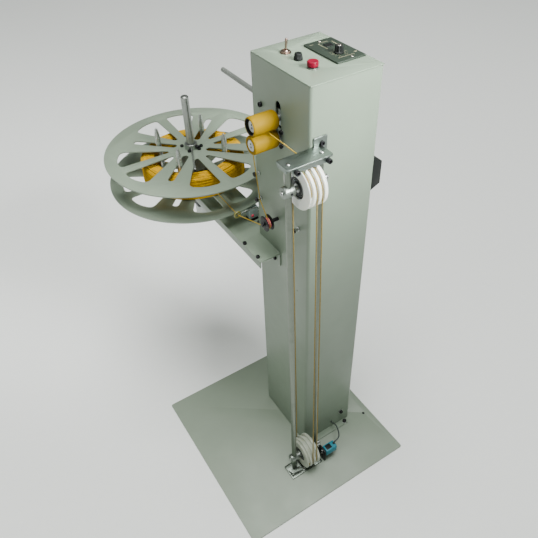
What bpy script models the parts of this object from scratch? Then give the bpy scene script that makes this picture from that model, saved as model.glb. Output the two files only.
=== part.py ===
"""Floor-standing ball winder: a sheet metal column on a square base plate, with a horizontal reel.

Yarn runs round two grooved pulleys in front of the column, through a pair of feed rollers, past a
guide pulley, a yarn-break sensor and an eyelet, and onto the reel behind. Metres, +Z up. The origin
is the centre of the base plate's underside. The column's narrow front faces -Y, and the rollers and
the reel arm are on its left side, -X.
"""
import math

import bmesh
import bpy
from mathutils import Matrix, Vector

# ---- driving dimensions ------------------------------------------------------------------------
BASE_SIDE = 0.468
BASE_T = 0.005
COLUMN_W = 0.150
COLUMN_D = 0.183
COLUMN_H = 1.022
COLUMN_LEFT = 0.021        # x of the column's left face
COLUMN_FRONT = -0.081      # y of the column's front face
SHEET = 0.002
BEND_R = 0.006
GAP = 0.0003               # clearance between touching pieces

ROLLER_R = 0.018
ROLLER_L = 0.053
ROLLER_Y = 0.096           # roller and slot line, from the column's front
ROLLER_LOW_Z = 0.894
ROLLER_SHAFT_R = 0.006
ROLLER_LIFT = 0.019
SLOT_W = 0.016
ROLLER_OUT = -0.060         # outer ends of both rollers

REEL_X = -0.031            # reel centre, from the column's front left edge
REEL_Y = 0.433
REEL_R = 0.204
FLANGE_T = 0.003
LOWER_FLANGE_Z = 0.652
UPPER_FLANGE_Z = 0.719
SPINDLE_R = 0.009
SPINDLE_TOP = 0.851
PEG_RING_R = 0.082
PEG_R = 0.0065
SLOT_INNER, SLOT_OUTER, SLOT_HALF = 0.037, 0.145, 0.0075
COIL_INNER, COIL_OUTER = 0.0885, 0.124

ARM_TOP = 0.615            # top of the reel arm's plate
ARM_OUTER = -0.052
ARM_FRONT = 0.097
ARM_BACK = 0.478
ARM_INNER = 0.044

PULLEY_R = 0.040
GROOVE_R = 0.0345
PULLEY_L = 0.038
GROOVE_FIRST, GROOVE_STEP = 0.0052, 0.01133   # groove centres, from the left face
TOP_PULLEY = (-0.043, -0.023, 0.864)      # left face centre, from the column's foot corner
BOTTOM_PULLEY = (-0.050, -0.047, 0.056)
SHAFT_R = 0.004
ROD_R = 0.006
ROD_LEFT_DX = -0.0165      # guide rod axes, from the pulley's left face
ROD_RIGHT_DX = 0.051
BRACKET_Z = 0.911          # underside of the top bracket's plate
STRAND_R, YARN_R = 0.0015, 0.0011     # strands between the pulleys; guided runs

CONTROL_X = 0.0445         # the row of three controls on top
TOGGLE_Y, FUSE_Y, BUTTON_Y = 0.138, 0.099, 0.057
PANEL_X, PANEL_Y = 0.115, 0.092
PANEL_W, PANEL_D = 0.061, 0.099
KNOB_X, KNOB_Y = 0.112, 0.075

SEG = 32
SEG_SMALL = 16


def at(dx, dy, dz):
    """A place given from the column's front left foot corner, on top of the base plate."""
    return Vector((COLUMN_LEFT + dx, COLUMN_FRONT + dy, BASE_T + dz))


# ---- scene and materials -----------------------------------------------------------------------
for old in list(bpy.data.objects):
    bpy.data.objects.remove(old, do_unlink=True)


def material(name, colour, roughness, metallic=0.0):
    mat = bpy.data.materials.new(name)
    mat.use_nodes = True
    shader = mat.node_tree.nodes["Principled BSDF"]
    shader.inputs["Base Color"].default_value = (*colour, 1.0)
    shader.inputs["Roughness"].default_value = roughness
    shader.inputs["Metallic"].default_value = metallic
    return mat


PAINT = material("painted_sheet", (0.40, 0.47, 0.40), 0.45)
REEL_PAINT = material("reel_enamel", (0.44, 0.50, 0.45), 0.35)
STEEL = material("bright_steel", (0.55, 0.57, 0.56), 0.25, 1.0)
ZINC = material("zinc_plate", (0.38, 0.42, 0.40), 0.4, 1.0)
BLACK_STEEL = material("black_steel", (0.03, 0.03, 0.03), 0.45, 0.6)
BLACK_PLASTIC = material("black_plastic", (0.02, 0.02, 0.02), 0.4)
PANEL_GREEN = material("panel_green", (0.06, 0.09, 0.07), 0.35)
NYLON = material("white_nylon", (0.80, 0.79, 0.74), 0.4)
RUBBER = material("amber_polyurethane", (0.62, 0.36, 0.01), 0.5)
YARN = material("yellow_yarn", (0.60, 0.34, 0.02), 0.8)
RED = material("red_plastic", (0.60, 0.02, 0.05), 0.3)
SENSOR_BLUE = material("sensor_teal", (0.01, 0.22, 0.30), 0.4)
CLEAR_GREY = material("smoked_plastic", (0.35, 0.42, 0.42), 0.2)
CERAMIC = material("eyelet_ceramic", (0.35, 0.30, 0.08), 0.3)
CABLE_GREY = material("cable_pvc", (0.04, 0.05, 0.05), 0.5)


# ---- modelling helpers -------------------------------------------------------------------------
AXIS_TURN = {
    "X": Matrix.Rotation(math.radians(90), 4, "Y"),
    "Y": Matrix.Rotation(math.radians(-90), 4, "X"),
    "Z": Matrix.Identity(4),
}


def finish_mesh(name, bm, mat, place=(0, 0, 0), axis="Z", smooth=True):
    """Make an object of bm, its local +Z turned to the world axis, and its origin at place."""
    bmesh.ops.remove_doubles(bm, verts=bm.verts, dist=1e-6)
    bmesh.ops.recalc_face_normals(bm, faces=bm.faces)
    mesh = bpy.data.meshes.new(name)
    bm.to_mesh(mesh)
    bm.free()
    if smooth:
        mesh.shade_smooth()
        mesh.set_sharp_from_angle(angle=math.radians(35))
    obj = bpy.data.objects.new(name, mesh)
    obj.matrix_world = Matrix.Translation(place) @ AXIS_TURN[axis]
    mesh.materials.append(mat)
    bpy.context.scene.collection.objects.link(obj)
    return obj


def turned(name, profile, mat, place, axis="Z", segments=SEG):
    """A lathe part. The profile is (radius, height) points; a bored part's profile is a closed loop."""
    bm = bmesh.new()
    verts = [bm.verts.new((radius, 0, height)) for radius, height in profile]
    edges = [bm.edges.new(pair) for pair in zip(verts, verts[1:])]
    if profile[0][0] > 0 and profile[-1][0] > 0:
        edges.append(bm.edges.new((verts[-1], verts[0])))
    bmesh.ops.spin(bm, geom=verts + edges, axis=(0, 0, 1), cent=(0, 0, 0),
                   steps=segments, angle=math.tau, use_merge=True)
    return finish_mesh(name, bm, mat, place, axis)


def rod_profile(radius, length, start=0.0, chamfer=0.0):
    """A plain round bar from start to start + length, with chamfered ends."""
    end = start + length
    if not chamfer:
        return [(0, start), (radius, start), (radius, end), (0, end)]
    return [(0, start), (radius - chamfer, start), (radius, start + chamfer),
            (radius, end - chamfer), (radius - chamfer, end), (0, end)]


def ring_profile(inner, outer, start, end):
    return [(inner, start), (outer, start), (outer, end), (inner, end)]


def arc(cx, cy, radius, start, stop, steps):
    """Points on an arc, angles in degrees."""
    angles = [math.radians(start + (stop - start) * i / steps) for i in range(steps + 1)]
    return [(cx + radius * math.cos(a), cy + radius * math.sin(a)) for a in angles]


def circle(cx, cy, radius, steps):
    return arc(cx, cy, radius, 0, 360, steps)[:-1]


def rectangle(x0, x1, y0, y1):
    return [(x0, y0), (x1, y0), (x1, y1), (x0, y1)]


def rounded(points, radii, steps=4):
    """The polygon with its corners rounded to the given radii by quadratic curves."""
    outline = []
    count = len(points)
    for i, radius in enumerate(radii):
        corner = Vector(points[i])
        before = (Vector(points[i - 1]) - corner)
        after = (Vector(points[(i + 1) % count]) - corner)
        if radius <= 0:
            outline.append(tuple(corner))
            continue
        start = corner + before.normalized() * min(radius, before.length * 0.45)
        stop = corner + after.normalized() * min(radius, after.length * 0.45)
        for k in range(steps + 1):
            t = k / steps
            point = start * (1 - t) ** 2 + corner * 2 * t * (1 - t) + stop * t ** 2
            outline.append(tuple(point))
    return outline


def rounded_rectangle(x0, x1, y0, y1, radius, steps=4):
    return rounded(rectangle(x0, x1, y0, y1), [radius] * 4, steps)


def stadium(x0, x1, half, steps=6):
    """A slot along local x from x0 to x1, with round ends."""
    return (arc(x1 - half, 0, half, -90, 90, steps)
            + arc(x0 + half, 0, half, 90, 270, steps))


def turned_outline(points, degrees, dx=0.0, dy=0.0):
    c, s = math.cos(math.radians(degrees)), math.sin(math.radians(degrees))
    return [(dx + x * c - y * s, dy + x * s + y * c) for x, y in points]


def extruded(name, outer, holes, depth, mat, place, axis="Z", smooth=False):
    """A flat outline with holes, extruded along local +Z."""
    bm = bmesh.new()
    edges = []
    for loop in [outer] + list(holes):
        verts = [bm.verts.new((x, y, 0)) for x, y in loop]
        edges += [bm.edges.new((verts[i - 1], verts[i])) for i in range(len(verts))]
    bmesh.ops.triangle_fill(bm, use_beauty=True, use_dissolve=False, edges=edges)
    grown = bmesh.ops.extrude_face_region(bm, geom=list(bm.faces), use_keep_orig=True)
    moved = [item for item in grown["geom"] if isinstance(item, bmesh.types.BMVert)]
    bmesh.ops.translate(bm, verts=moved, vec=(0, 0, depth))
    return finish_mesh(name, bm, mat, place, axis, smooth)


def block(name, low, high, mat, bevel=0.0, segments=1):
    """A box between two corners, its edges bevelled by a modifier."""
    bm = bmesh.new()
    bmesh.ops.create_cube(bm, size=1.0)
    size = Vector(high) - Vector(low)
    bmesh.ops.scale(bm, vec=size, verts=bm.verts)
    obj = finish_mesh(name, bm, mat, (Vector(low) + Vector(high)) / 2, "Z", smooth=False)
    if bevel:
        mod = obj.modifiers.new("edges", "BEVEL")
        mod.width = bevel
        mod.segments = segments
        mod.limit_method = "ANGLE"
    return obj


def as_cutter(obj):
    obj.hide_render = True
    obj.display_type = "WIRE"
    return obj


def boolean(target, tool, operation="DIFFERENCE"):
    """Cut or join with a helper object that isn't part of the model itself."""
    as_cutter(tool)
    mod = target.modifiers.new(operation.lower(), "BOOLEAN")
    mod.operation = operation
    mod.solver = "EXACT"
    mod.object = tool
    return target


def bore(target, name, radius, start, length, axis, segments=SEG_SMALL):
    """Cut a round hole, from start along the axis."""
    tool = turned(name, rod_profile(radius, length), BLACK_STEEL, start, axis, segments)
    return boolean(target, tool)


def leaning_rod(name, foot, head, radius, mat, segments=SEG_SMALL):
    """A round rod between two level end faces that needn't be one above the other."""
    bm = bmesh.new()
    rings = []
    for centre in (foot, head):
        rings.append([bm.verts.new((centre[0] + x, centre[1] + y, centre[2]))
                      for x, y in circle(0, 0, radius, segments)])
    for i in range(segments):
        j = (i + 1) % segments
        bm.faces.new((rings[0][i], rings[0][j], rings[1][j], rings[1][i]))
    bm.faces.new(list(reversed(rings[0])))
    bm.faces.new(rings[1])
    return finish_mesh(name, bm, mat)


def smooth_route(points, steps):
    """Points of a Catmull-Rom curve through the route's own points."""
    knots = [Vector(p) for p in points]
    ends = [knots[0] * 2 - knots[1]] + knots + [knots[-1] * 2 - knots[-2]]
    route = []
    for a, b, c, d in zip(ends, ends[1:], ends[2:], ends[3:]):
        for k in range(steps):
            t = k / steps
            route.append(0.5 * (2 * b + (c - a) * t + (2 * a - 5 * b + 4 * c - d) * t * t
                                + (3 * b - a - 3 * c + d) * t ** 3))
    return route + [knots[-1]]


def tube(name, points, radius, mat, resolution=2):
    """A yarn or cable as a curve with a round bevel and filled caps."""
    curve = bpy.data.curves.new(name, "CURVE")
    curve.dimensions = "3D"
    curve.bevel_depth = radius
    curve.bevel_resolution = resolution
    curve.use_fill_caps = True
    spline = curve.splines.new("POLY")
    spline.points.add(len(points) - 1)
    for knot, point in zip(spline.points, points):
        knot.co = (*point, 1.0)
    obj = bpy.data.objects.new(name, curve)
    curve.materials.append(mat)
    bpy.context.scene.collection.objects.link(obj)
    return obj


# ---- base plate and column ---------------------------------------------------------------------
def base_plate():
    half = BASE_SIDE / 2
    outline = rounded_rectangle(-half, half, -half, half, 0.004, 2)
    spare_hole = circle(COLUMN_LEFT + 0.193, COLUMN_FRONT - 0.016, 0.003, 12)
    extruded("base_plate", outline, [spare_hole], BASE_T, PAINT, (0, 0, 0))


def column_outline():
    """Plan of the wrap: left, front and right walls with bent corners, and lips behind."""
    w, d, r, t, lip = COLUMN_W, COLUMN_D - SHEET - GAP, BEND_R, SHEET, 0.014
    outside = ([(lip, d), (0, d)] + arc(r, r, r, 180, 270, 4)
               + arc(w - r, r, r, 270, 360, 4) + [(w, d), (w - lip, d)])
    inside = ([(w - lip, d - t), (w - t, d - t)] + arc(w - r, r, r - t, 360, 270, 4)
              + arc(r, r, r - t, 270, 180, 4) + [(t, d - t), (lip, d - t)])
    return outside + inside


def column_shell():
    height = COLUMN_H - SHEET - 2 * GAP
    shell = extruded("column_shell", column_outline(), [], height, PAINT, at(0, 0, GAP))
    slot_low = ROLLER_LOW_Z - 0.015
    slot_high = ROLLER_LOW_Z + 2 * ROLLER_R + ROLLER_LIFT + 0.012
    slot = extruded("cut_roller_slot", stadium(slot_low, slot_high, SLOT_W / 2), [], 0.02,
                    BLACK_STEEL, at(-0.01, ROLLER_Y, 0))
    slot.matrix_world = (Matrix.Translation(at(0.01, ROLLER_Y, 0))
                         @ Matrix.Rotation(math.radians(-90), 4, "Y"))
    boolean(shell, slot)
    bore(shell, "cut_cable_hole", 0.004, at(0.0895, -0.01, 0.024), 0.02, "Y")
    bore(shell, "cut_hex_hole", 0.006, at(0.120, -0.01, 0.050), 0.02, "Y", 6)
    bore(shell, "cut_left_hole", 0.002, at(-0.01, 0.037, 0.552), 0.02, "X", 8)
    boolean(shell, block("join_foot_flange", at(0.012, -0.016, 0.0003), at(0.138, 0.001, 0.003),
                         PAINT), "UNION")
    bore(shell, "cut_foot_screw", 0.0032, at(0.130, -0.009, -0.005), 0.02, "Z", 12)


def rear_cover():
    cover = extruded("rear_cover", rounded_rectangle(0, COLUMN_W, 0, COLUMN_H - SHEET - 2 * GAP,
                                                     0.001, 1), [], SHEET - GAP, PAINT,
                     at(0, COLUMN_D, GAP))
    cover.matrix_world = (Matrix.Translation(at(0, COLUMN_D, GAP))
                          @ Matrix.Rotation(math.radians(90), 4, "X"))
    bore(cover, "cut_rod_hole", 0.0054, at(REAR_ROD_X, COLUMN_D - 0.01, REAR_ROD_Z), 0.02, "Y")


def top_panel():
    low = COLUMN_H - SHEET
    holes = [circle(CONTROL_X, TOGGLE_Y, 0.0063, 16),
             circle(CONTROL_X, FUSE_Y, 0.0063, 16),
             circle(CONTROL_X, BUTTON_Y, 0.0083, 16),
             rectangle(PANEL_X - 0.0255, PANEL_X + 0.0255, PANEL_Y - 0.047, PANEL_Y + 0.047)]
    sheet = rounded_rectangle(0, COLUMN_W, 0, COLUMN_D, 0.002, 2)
    panel = extruded("top_panel", sheet, holes, SHEET, PAINT, at(0, 0, low))
    front, side, back = SHEET + 0.0008, SHEET + 0.0008, COLUMN_D - 0.0055
    wall = 0.0012
    skirt = extruded("join_top_skirt", rounded_rectangle(side, COLUMN_W - side, front, back, 0.005, 2),
                     [rounded_rectangle(side + wall, COLUMN_W - side - wall, front + wall,
                                        back - wall, 0.004, 2)],
                     0.013, PAINT, at(0, 0, low - 0.012))
    boolean(panel, skirt, "UNION")


def mains_inlet():
    box = block("mains_inlet_box", at(COLUMN_W + GAP, 0.008, 0.762), at(COLUMN_W + 0.027, 0.052, 0.836),
                BLACK_PLASTIC, 0.002, 2)
    boolean(box, block("cut_inlet_socket", at(COLUMN_W + 0.012, 0.018, 0.772),
                       at(COLUMN_W + 0.040, 0.042, 0.796), BLACK_PLASTIC))


REAR_ROD_X, REAR_ROD_Z = 0.025, 0.927


def rear_rod():
    turned("rear_rod", rod_profile(0.005, 0.215, 0, 0.0006), STEEL,
           at(REAR_ROD_X, 0.130, REAR_ROD_Z), "Y", SEG_SMALL)


# ---- controls on top ---------------------------------------------------------------------------
def speed_controller():
    body = block("speed_controller", at(PANEL_X - 0.025, PANEL_Y - 0.0465, COLUMN_H - 0.048),
                 at(PANEL_X + 0.025, PANEL_Y + 0.0465, COLUMN_H + 0.001), PANEL_GREEN)
    bezel = block("join_bezel", at(PANEL_X - PANEL_W / 2, PANEL_Y - PANEL_D / 2, COLUMN_H + GAP),
                  at(PANEL_X + PANEL_W / 2, PANEL_Y + PANEL_D / 2, COLUMN_H + 0.0033), PANEL_GREEN,
                  0.001, 1)
    boolean(body, bezel, "UNION")
    bore(body, "cut_knob_shaft", 0.0035, at(KNOB_X, KNOB_Y, COLUMN_H - 0.006), 0.02, "Z", 12)
    boolean(body, block("cut_rocker_well", at(ROCKER_X - 0.0085, ROCKER_Y - 0.0065, COLUMN_H - 0.008),
                        at(ROCKER_X + 0.0085, ROCKER_Y + 0.0065, COLUMN_H + 0.01), BLACK_PLASTIC))


ROCKER_X, ROCKER_Y = 0.119, 0.113


def speed_knob():
    """Fluted knob: skirt, grip with eight flutes, and the shaft stub below it."""
    low = COLUMN_H + 0.0036
    flutes = 8
    grip = []
    for i in range(flutes * 4):
        angle = math.tau * i / (flutes * 4)
        radius = 0.0068 + 0.0006 * math.cos(angle * flutes)
        grip.append((radius * math.cos(angle), radius * math.sin(angle)))
    knob = extruded("speed_knob", grip, [], 0.0115, BLACK_PLASTIC, at(KNOB_X, KNOB_Y, low + 0.002))
    boolean(knob, turned("join_knob_skirt", [(0, -0.009), (0.003, -0.009), (0.003, 0),
                                             (0.0088, 0), (0.0084, 0.0025), (0, 0.0025)],
                         BLACK_PLASTIC, at(KNOB_X, KNOB_Y, low), "Z", 24), "UNION")


def run_rocker():
    """Rocker button on its own pivot line along X; its top is a shallow V."""
    outline = [(-0.0056, 0.0005), (-0.004, -0.0052), (0.004, -0.0052), (0.0056, 0.0005),
               (0.0056, 0.0042), (0.0, 0.0024), (-0.0056, 0.0030)]
    half = 0.0080
    rocker = extruded("run_rocker", outline, [], 2 * half, BLACK_PLASTIC, (0, 0, 0))
    pivot = at(ROCKER_X, ROCKER_Y, COLUMN_H + 0.001)
    rocker.matrix_world = Matrix((
        (0, 0, 1, pivot.x - half),
        (1, 0, 0, pivot.y),
        (0, 1, 0, pivot.z),
        (0, 0, 0, 1)))


def toggle_switch():
    place = at(CONTROL_X, TOGGLE_Y, COLUMN_H)
    body = turned("toggle_bushing", [(0.0028, -0.004), (0.0060, -0.004), (0.0060, GAP),
                                     (0.0092, GAP), (0.0092, 0.0028), (0.0058, 0.0032),
                                     (0.0058, 0.0046), (0.0050, 0.0052), (0.0038, 0.0052),
                                     (0.0033, 0.003)], STEEL, place, "Z", 24)
    boolean(body, block("join_toggle_body", at(CONTROL_X - 0.0065, TOGGLE_Y - 0.010, COLUMN_H - 0.027),
                        at(CONTROL_X + 0.0065, TOGGLE_Y + 0.010, COLUMN_H - 0.0035),
                        BLACK_PLASTIC), "UNION")
    lever = turned("toggle_lever", [(0, 0.0), (0.0012, 0.0004), (0.0020, 0.0025), (0.0021, 0.012),
                                    (0.0026, 0.022), (0.0025, 0.0246), (0.0015, 0.0259),
                                    (0, 0.0262)], STEEL, place, "Z", 12)
    lever.matrix_world = (Matrix.Translation(place) @ Matrix.Rotation(math.radians(TOGGLE_TILT), 4, "X"))


TOGGLE_TILT = 8


def fuse_holder():
    place = at(CONTROL_X, FUSE_Y, COLUMN_H)
    turned("fuse_holder_body", [(0.0045, -0.030), (0.0060, -0.030), (0.0060, GAP), (0.0078, GAP),
                                (0.0078, 0.0016), (0.0045, 0.0016)], BLACK_PLASTIC, place, "Z", 24)
    turned("fuse_cap", [(0, -0.006), (0.0040, -0.006), (0.0040, 0.0020), (0.0077, 0.0020),
                        (0.0075, 0.0050), (0.0062, 0.0106), (0.0052, 0.0119), (0, 0.0120)],
           BLACK_PLASTIC, place, "Z", 24)


def push_button():
    place = at(CONTROL_X, BUTTON_Y, COLUMN_H)
    turned("button_bushing", [(0.0062, -0.022), (0.0080, -0.022), (0.0080, GAP), (0.0098, GAP),
                              (0.0098, 0.0016), (0.0074, 0.0022), (0.0062, 0.0016)], ZINC, place, "Z", 24)
    turned("red_button", [(0, -0.014), (0.0058, -0.014), (0.0058, 0.0038), (0.0096, 0.0038),
                          (0.0098, 0.0044), (0.0098, 0.0106), (0.0090, 0.0119), (0, 0.0120)],
           RED, place, "Z", 24)


# ---- feed rollers ------------------------------------------------------------------------------
def roller(kind, height):
    """A polyurethane sleeve on a metal core whose shaft runs through the wall into the column."""
    outer_end = ROLLER_OUT
    turned(f"{kind}_roller_sleeve", [(0.0115, 0), (ROLLER_R - 0.0008 - GAP / 2, 0),
                                     (ROLLER_R - GAP / 2, 0.0008),
                                     (ROLLER_R - GAP / 2, ROLLER_L - 0.0008),
                                     (ROLLER_R - 0.0008 - GAP / 2, ROLLER_L), (0.0115, ROLLER_L)],
           RUBBER, at(outer_end, ROLLER_Y, height), "X")
    hub = 0.0112
    face = 0.0045 if kind == "upper" else 0.0005
    inside = ROLLER_L + (0.055 if kind == "upper" else 0.078)
    turned(f"{kind}_roller_core", [(0, face), (hub - 0.0012, face), (hub, face + 0.0006),
                                   (hub, ROLLER_L), (ROLLER_SHAFT_R, ROLLER_L),
                                   (ROLLER_SHAFT_R, inside), (0, inside)],
           STEEL, at(outer_end, ROLLER_Y, height), "X", 24)


def roller_frame():
    """U-shaped bearing frame behind the left wall; its legs guide the upper roller's carriage."""
    low, high = ROLLER_LOW_Z - 0.024, ROLLER_LOW_Z + 2 * ROLLER_R + ROLLER_LIFT + 0.022
    outline = [(-0.030, low), (0.030, low), (0.030, high), (0.0165, high),
               (0.0165, ROLLER_LOW_Z + 0.016), (-0.0165, ROLLER_LOW_Z + 0.016),
               (-0.0165, high), (-0.030, high)]
    frame = extruded("roller_frame", outline, [circle(0, ROLLER_LOW_Z, ROLLER_SHAFT_R + GAP, 16)],
                     0.016, ZINC, (0, 0, 0))
    origin = at(SHEET + GAP, ROLLER_Y, 0)
    frame.matrix_world = Matrix(((0, 0, 1, origin.x), (1, 0, 0, origin.y), (0, 1, 0, origin.z),
                                 (0, 0, 0, 1)))


def roller_carriage():
    """Sliding bearing block of the upper roller, between the frame's legs."""
    height = ROLLER_LOW_Z + 2 * ROLLER_R
    carriage = block("upper_roller_carriage", at(SHEET + 0.001, ROLLER_Y - 0.0160, height - 0.0155),
                     at(SHEET + 0.0155, ROLLER_Y + 0.0160, height + 0.0155), ZINC)
    bore(carriage, "cut_carriage_bearing", ROLLER_SHAFT_R + GAP, at(-0.01, ROLLER_Y, height), 0.05, "X")


def feed_gearmotor():
    """Gearmotor that turns the lower roller, bolted to a bracket on the right wall."""
    start = 0.062
    body = block("feed_gearmotor", at(start, ROLLER_Y - 0.030, ROLLER_LOW_Z - 0.030),
                 at(start + 0.026, ROLLER_Y + 0.030, ROLLER_LOW_Z + 0.030), BLACK_STEEL, 0.003)
    boolean(body, turned("join_motor_can", rod_profile(0.027, 0.058, 0, 0.002), BLACK_STEEL,
                         at(start + 0.0255, ROLLER_Y, ROLLER_LOW_Z), "X", 24), "UNION")
    bore(body, "cut_motor_bore", ROLLER_SHAFT_R + GAP, at(start - 0.01, ROLLER_Y, ROLLER_LOW_Z), 0.022,
         "X")


# ---- reel arm and reel -------------------------------------------------------------------------
def reel_arm():
    """Folded shelf bolted to the left wall; behind the column it widens to carry the spindle."""
    behind = COLUMN_D + GAP
    plan = [(ARM_OUTER, ARM_FRONT), (-GAP, ARM_FRONT), (-GAP, behind), (ARM_INNER, behind),
            (ARM_INNER, ARM_BACK - 0.03), (ARM_INNER - 0.03, ARM_BACK), (ARM_OUTER, ARM_BACK)]
    arm = extruded("reel_arm", rounded(plan, [0.004, 0, 0, 0, 0.01, 0.01, 0.01]),
                   [circle(REEL_X, REEL_Y, 0.0135, 20)], 0.003, PAINT, at(0, 0, ARM_TOP - 0.003))
    lips = {
        "join_arm_outer_lip": ((ARM_OUTER, ARM_FRONT + 0.002, ARM_TOP - 0.020),
                               (ARM_OUTER + 0.003, ARM_BACK - 0.012, ARM_TOP - 0.001)),
        "join_arm_wall_lip": ((-0.003 - GAP, ARM_FRONT + 0.001, ARM_TOP - 0.036),
                              (-GAP, behind, ARM_TOP - 0.001)),
        "join_arm_rear_lip": ((-0.002, behind, ARM_TOP - 0.036),
                              (ARM_INNER - 0.001, behind + 0.003, ARM_TOP - 0.001)),
    }
    for name, (low, high) in lips.items():
        boolean(arm, block(name, at(*low), at(*high), PAINT), "UNION")


def spindle_housing():
    turned("spindle_housing", [(SPINDLE_R + GAP, -0.012), (0.0130, -0.012), (0.0130, GAP),
                               (0.020, GAP), (0.020, 0.005), (0.0155, 0.007), (0.0150, 0.024),
                               (0.0140, 0.025), (SPINDLE_R + GAP, 0.025)],
           ZINC, at(REEL_X, REEL_Y, ARM_TOP), "Z", 24)


def reel_motor():
    """Torque motor under the arm, its gearbox offset so that it clears the arm's outer lip."""
    top = ARM_TOP - 0.0165
    body = block("reel_motor", at(-0.046, REEL_Y - 0.030, top - 0.028), at(0.024, REEL_Y + 0.030, top),
                 BLACK_STEEL, 0.003)
    boolean(body, turned("join_reel_motor_can", rod_profile(0.028, 0.055, -0.082, 0.002), BLACK_STEEL,
                         at(-0.011, REEL_Y, top), "Z", 24), "UNION")
    boolean(body, block("join_motor_foot", at(-0.046, REEL_Y + 0.0200, top - 0.004),
                        at(0.024, REEL_Y + 0.0300, ARM_TOP - 0.003 - GAP), BLACK_STEEL), "UNION")
    bore(body, "cut_motor_socket", SPINDLE_R + GAP, at(REEL_X, REEL_Y, top - 0.016), 0.03, "Z")


def spindle():
    """Reel spindle with the hub disc that the lower flange sits on."""
    low = ARM_TOP - 0.030
    hub = LOWER_FLANGE_Z - GAP
    turned("spindle", [(0, low), (SPINDLE_R, low), (SPINDLE_R, hub - 0.008), (0.030, hub - 0.008),
                       (0.030, hub), (SPINDLE_R, hub), (SPINDLE_R, SPINDLE_TOP - 0.003),
                       (SPINDLE_R - 0.002, SPINDLE_TOP), (0, SPINDLE_TOP)],
           STEEL, at(REEL_X, REEL_Y, 0), "Z", 24)


def polar(radius, degrees):
    return (radius * math.cos(math.radians(degrees)), radius * math.sin(math.radians(degrees)))


def flange_windows():
    """Eight tapering windows, two beside each spoke, and the four peg slots between them."""
    holes = []
    for spoke in range(0, 360, 90):
        for side in (-1, 1):
            corners = [polar(0.054, spoke + side * 10), polar(0.174, spoke + side * 4.2),
                       polar(0.176, spoke + side * 16), polar(0.168, spoke + side * 28.5),
                       polar(0.056, spoke + side * 18)]
            holes.append(rounded(corners, [0.003, 0.012, 0.030, 0.016, 0.003], 3))
        slot = stadium(SLOT_INNER, SLOT_OUTER, SLOT_HALF, 5)
        holes.append(turned_outline(slot, spoke + 45))
    return holes


def reel_flange(name, height, bore_r):
    extruded(name, circle(0, 0, REEL_R, 72), flange_windows() + [circle(0, 0, bore_r, 24)],
             FLANGE_T, REEL_PAINT, at(REEL_X, REEL_Y, height))


def upper_collar():
    """Clamp collar of the lift-off flange, with a wide ribbed core below the flange."""
    core_r, core_h = 0.036, 0.045
    turned("upper_flange_collar", [(SPINDLE_R + GAP, -core_h), (core_r - 0.002, -core_h),
                                   (core_r, 0.002 - core_h), (core_r, -GAP - FLANGE_T),
                                   (0.0116, -GAP - FLANGE_T), (0.0116, GAP), (0.0170, GAP),
                                   (0.0170, 0.011), (0.0155, 0.0125), (SPINDLE_R + GAP, 0.0125)],
           BLACK_STEEL, at(REEL_X, REEL_Y, UPPER_FLANGE_Z + FLANGE_T), "Z", 24)


def reel_pegs():
    """Four bullet-nosed pegs, clamped in the lower flange's slots; the coil is wound round them."""
    foot = LOWER_FLANGE_Z + FLANGE_T + GAP
    tip = UPPER_FLANGE_Z + FLANGE_T + 0.044
    under = LOWER_FLANGE_Z - GAP
    for i in range(4):
        x, y = polar(PEG_RING_R, 45 + 90 * i)
        turned(f"reel_peg_{i + 1}", [(0, under - 0.007), (0.0085, under - 0.007), (0.0085, under),
                                     (0.0055, under), (0.0055, foot), (0.0090, foot),
                                     (0.0090, foot + 0.004), (PEG_R, foot + 0.006),
                                     (PEG_R, tip - 0.024), (0.0050, tip - 0.012),
                                     (0.0028, tip - 0.0025), (0, tip)],
               STEEL, at(REEL_X + x, REEL_Y + y, 0), "Z", SEG_SMALL)


def yarn_coil():
    low, high = LOWER_FLANGE_Z + FLANGE_T + 0.0005, 0.713
    turned("yarn_coil", [(COIL_INNER + 0.005, low), (COIL_OUTER - 0.006, low), (COIL_OUTER, low + 0.008),
                         (COIL_OUTER, high - 0.012), (COIL_OUTER - 0.008, high - 0.001),
                         (COIL_INNER + 0.006, high), (COIL_INNER, high - 0.006),
                         (COIL_INNER, low + 0.009)],
           YARN, at(REEL_X, REEL_Y, 0), "Z", 48)


# ---- yarn guides on the left wall --------------------------------------------------------------
GUIDE_Y, GUIDE_Z, GUIDE_X = 0.106, 0.702, -0.019


def guide_pulley():
    """Two black dished discs with a narrow pink liner groove between them."""
    turned("guide_pulley", [(0.0027, -0.001), (0.0060, -0.001), (0.0155, 0.0), (0.0172, 0.001),
                            (0.0155, 0.0022), (0.0095, 0.0042), (0.0095, 0.0098), (0.0155, 0.0118),
                            (0.0172, 0.013), (0.0155, 0.014), (0.0060, 0.015), (0.0027, 0.015)],
           BLACK_PLASTIC, at(GUIDE_X - 0.014, GUIDE_Y, GUIDE_Z), "X", 28)
    turned("guide_pulley_stud", [(0, -0.0205), (0.0040, -0.0205), (0.0040, -0.0155),
                                 (0.0024, -0.0155), (0.0024, GUIDE_X * -1 - 0.0163),
                                 (0.0024, 0.0018), (0.0040, 0.0018), (0.0040, 0.0187),
                                 (0, 0.0187)],
           BLACK_STEEL, at(GUIDE_X, GUIDE_Y, GUIDE_Z), "X", SEG_SMALL)


def reel_sensor():
    """Reflex sensor on the arm, under the reel's rim, that counts the turns."""
    block("reel_sensor", at(0.002, 0.229, ARM_TOP + GAP), at(0.028, 0.247, ARM_TOP + 0.031),
          CLEAR_GREY, 0.0015)


EYELET = (-0.035, 0.217, 0.6585)


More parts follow.
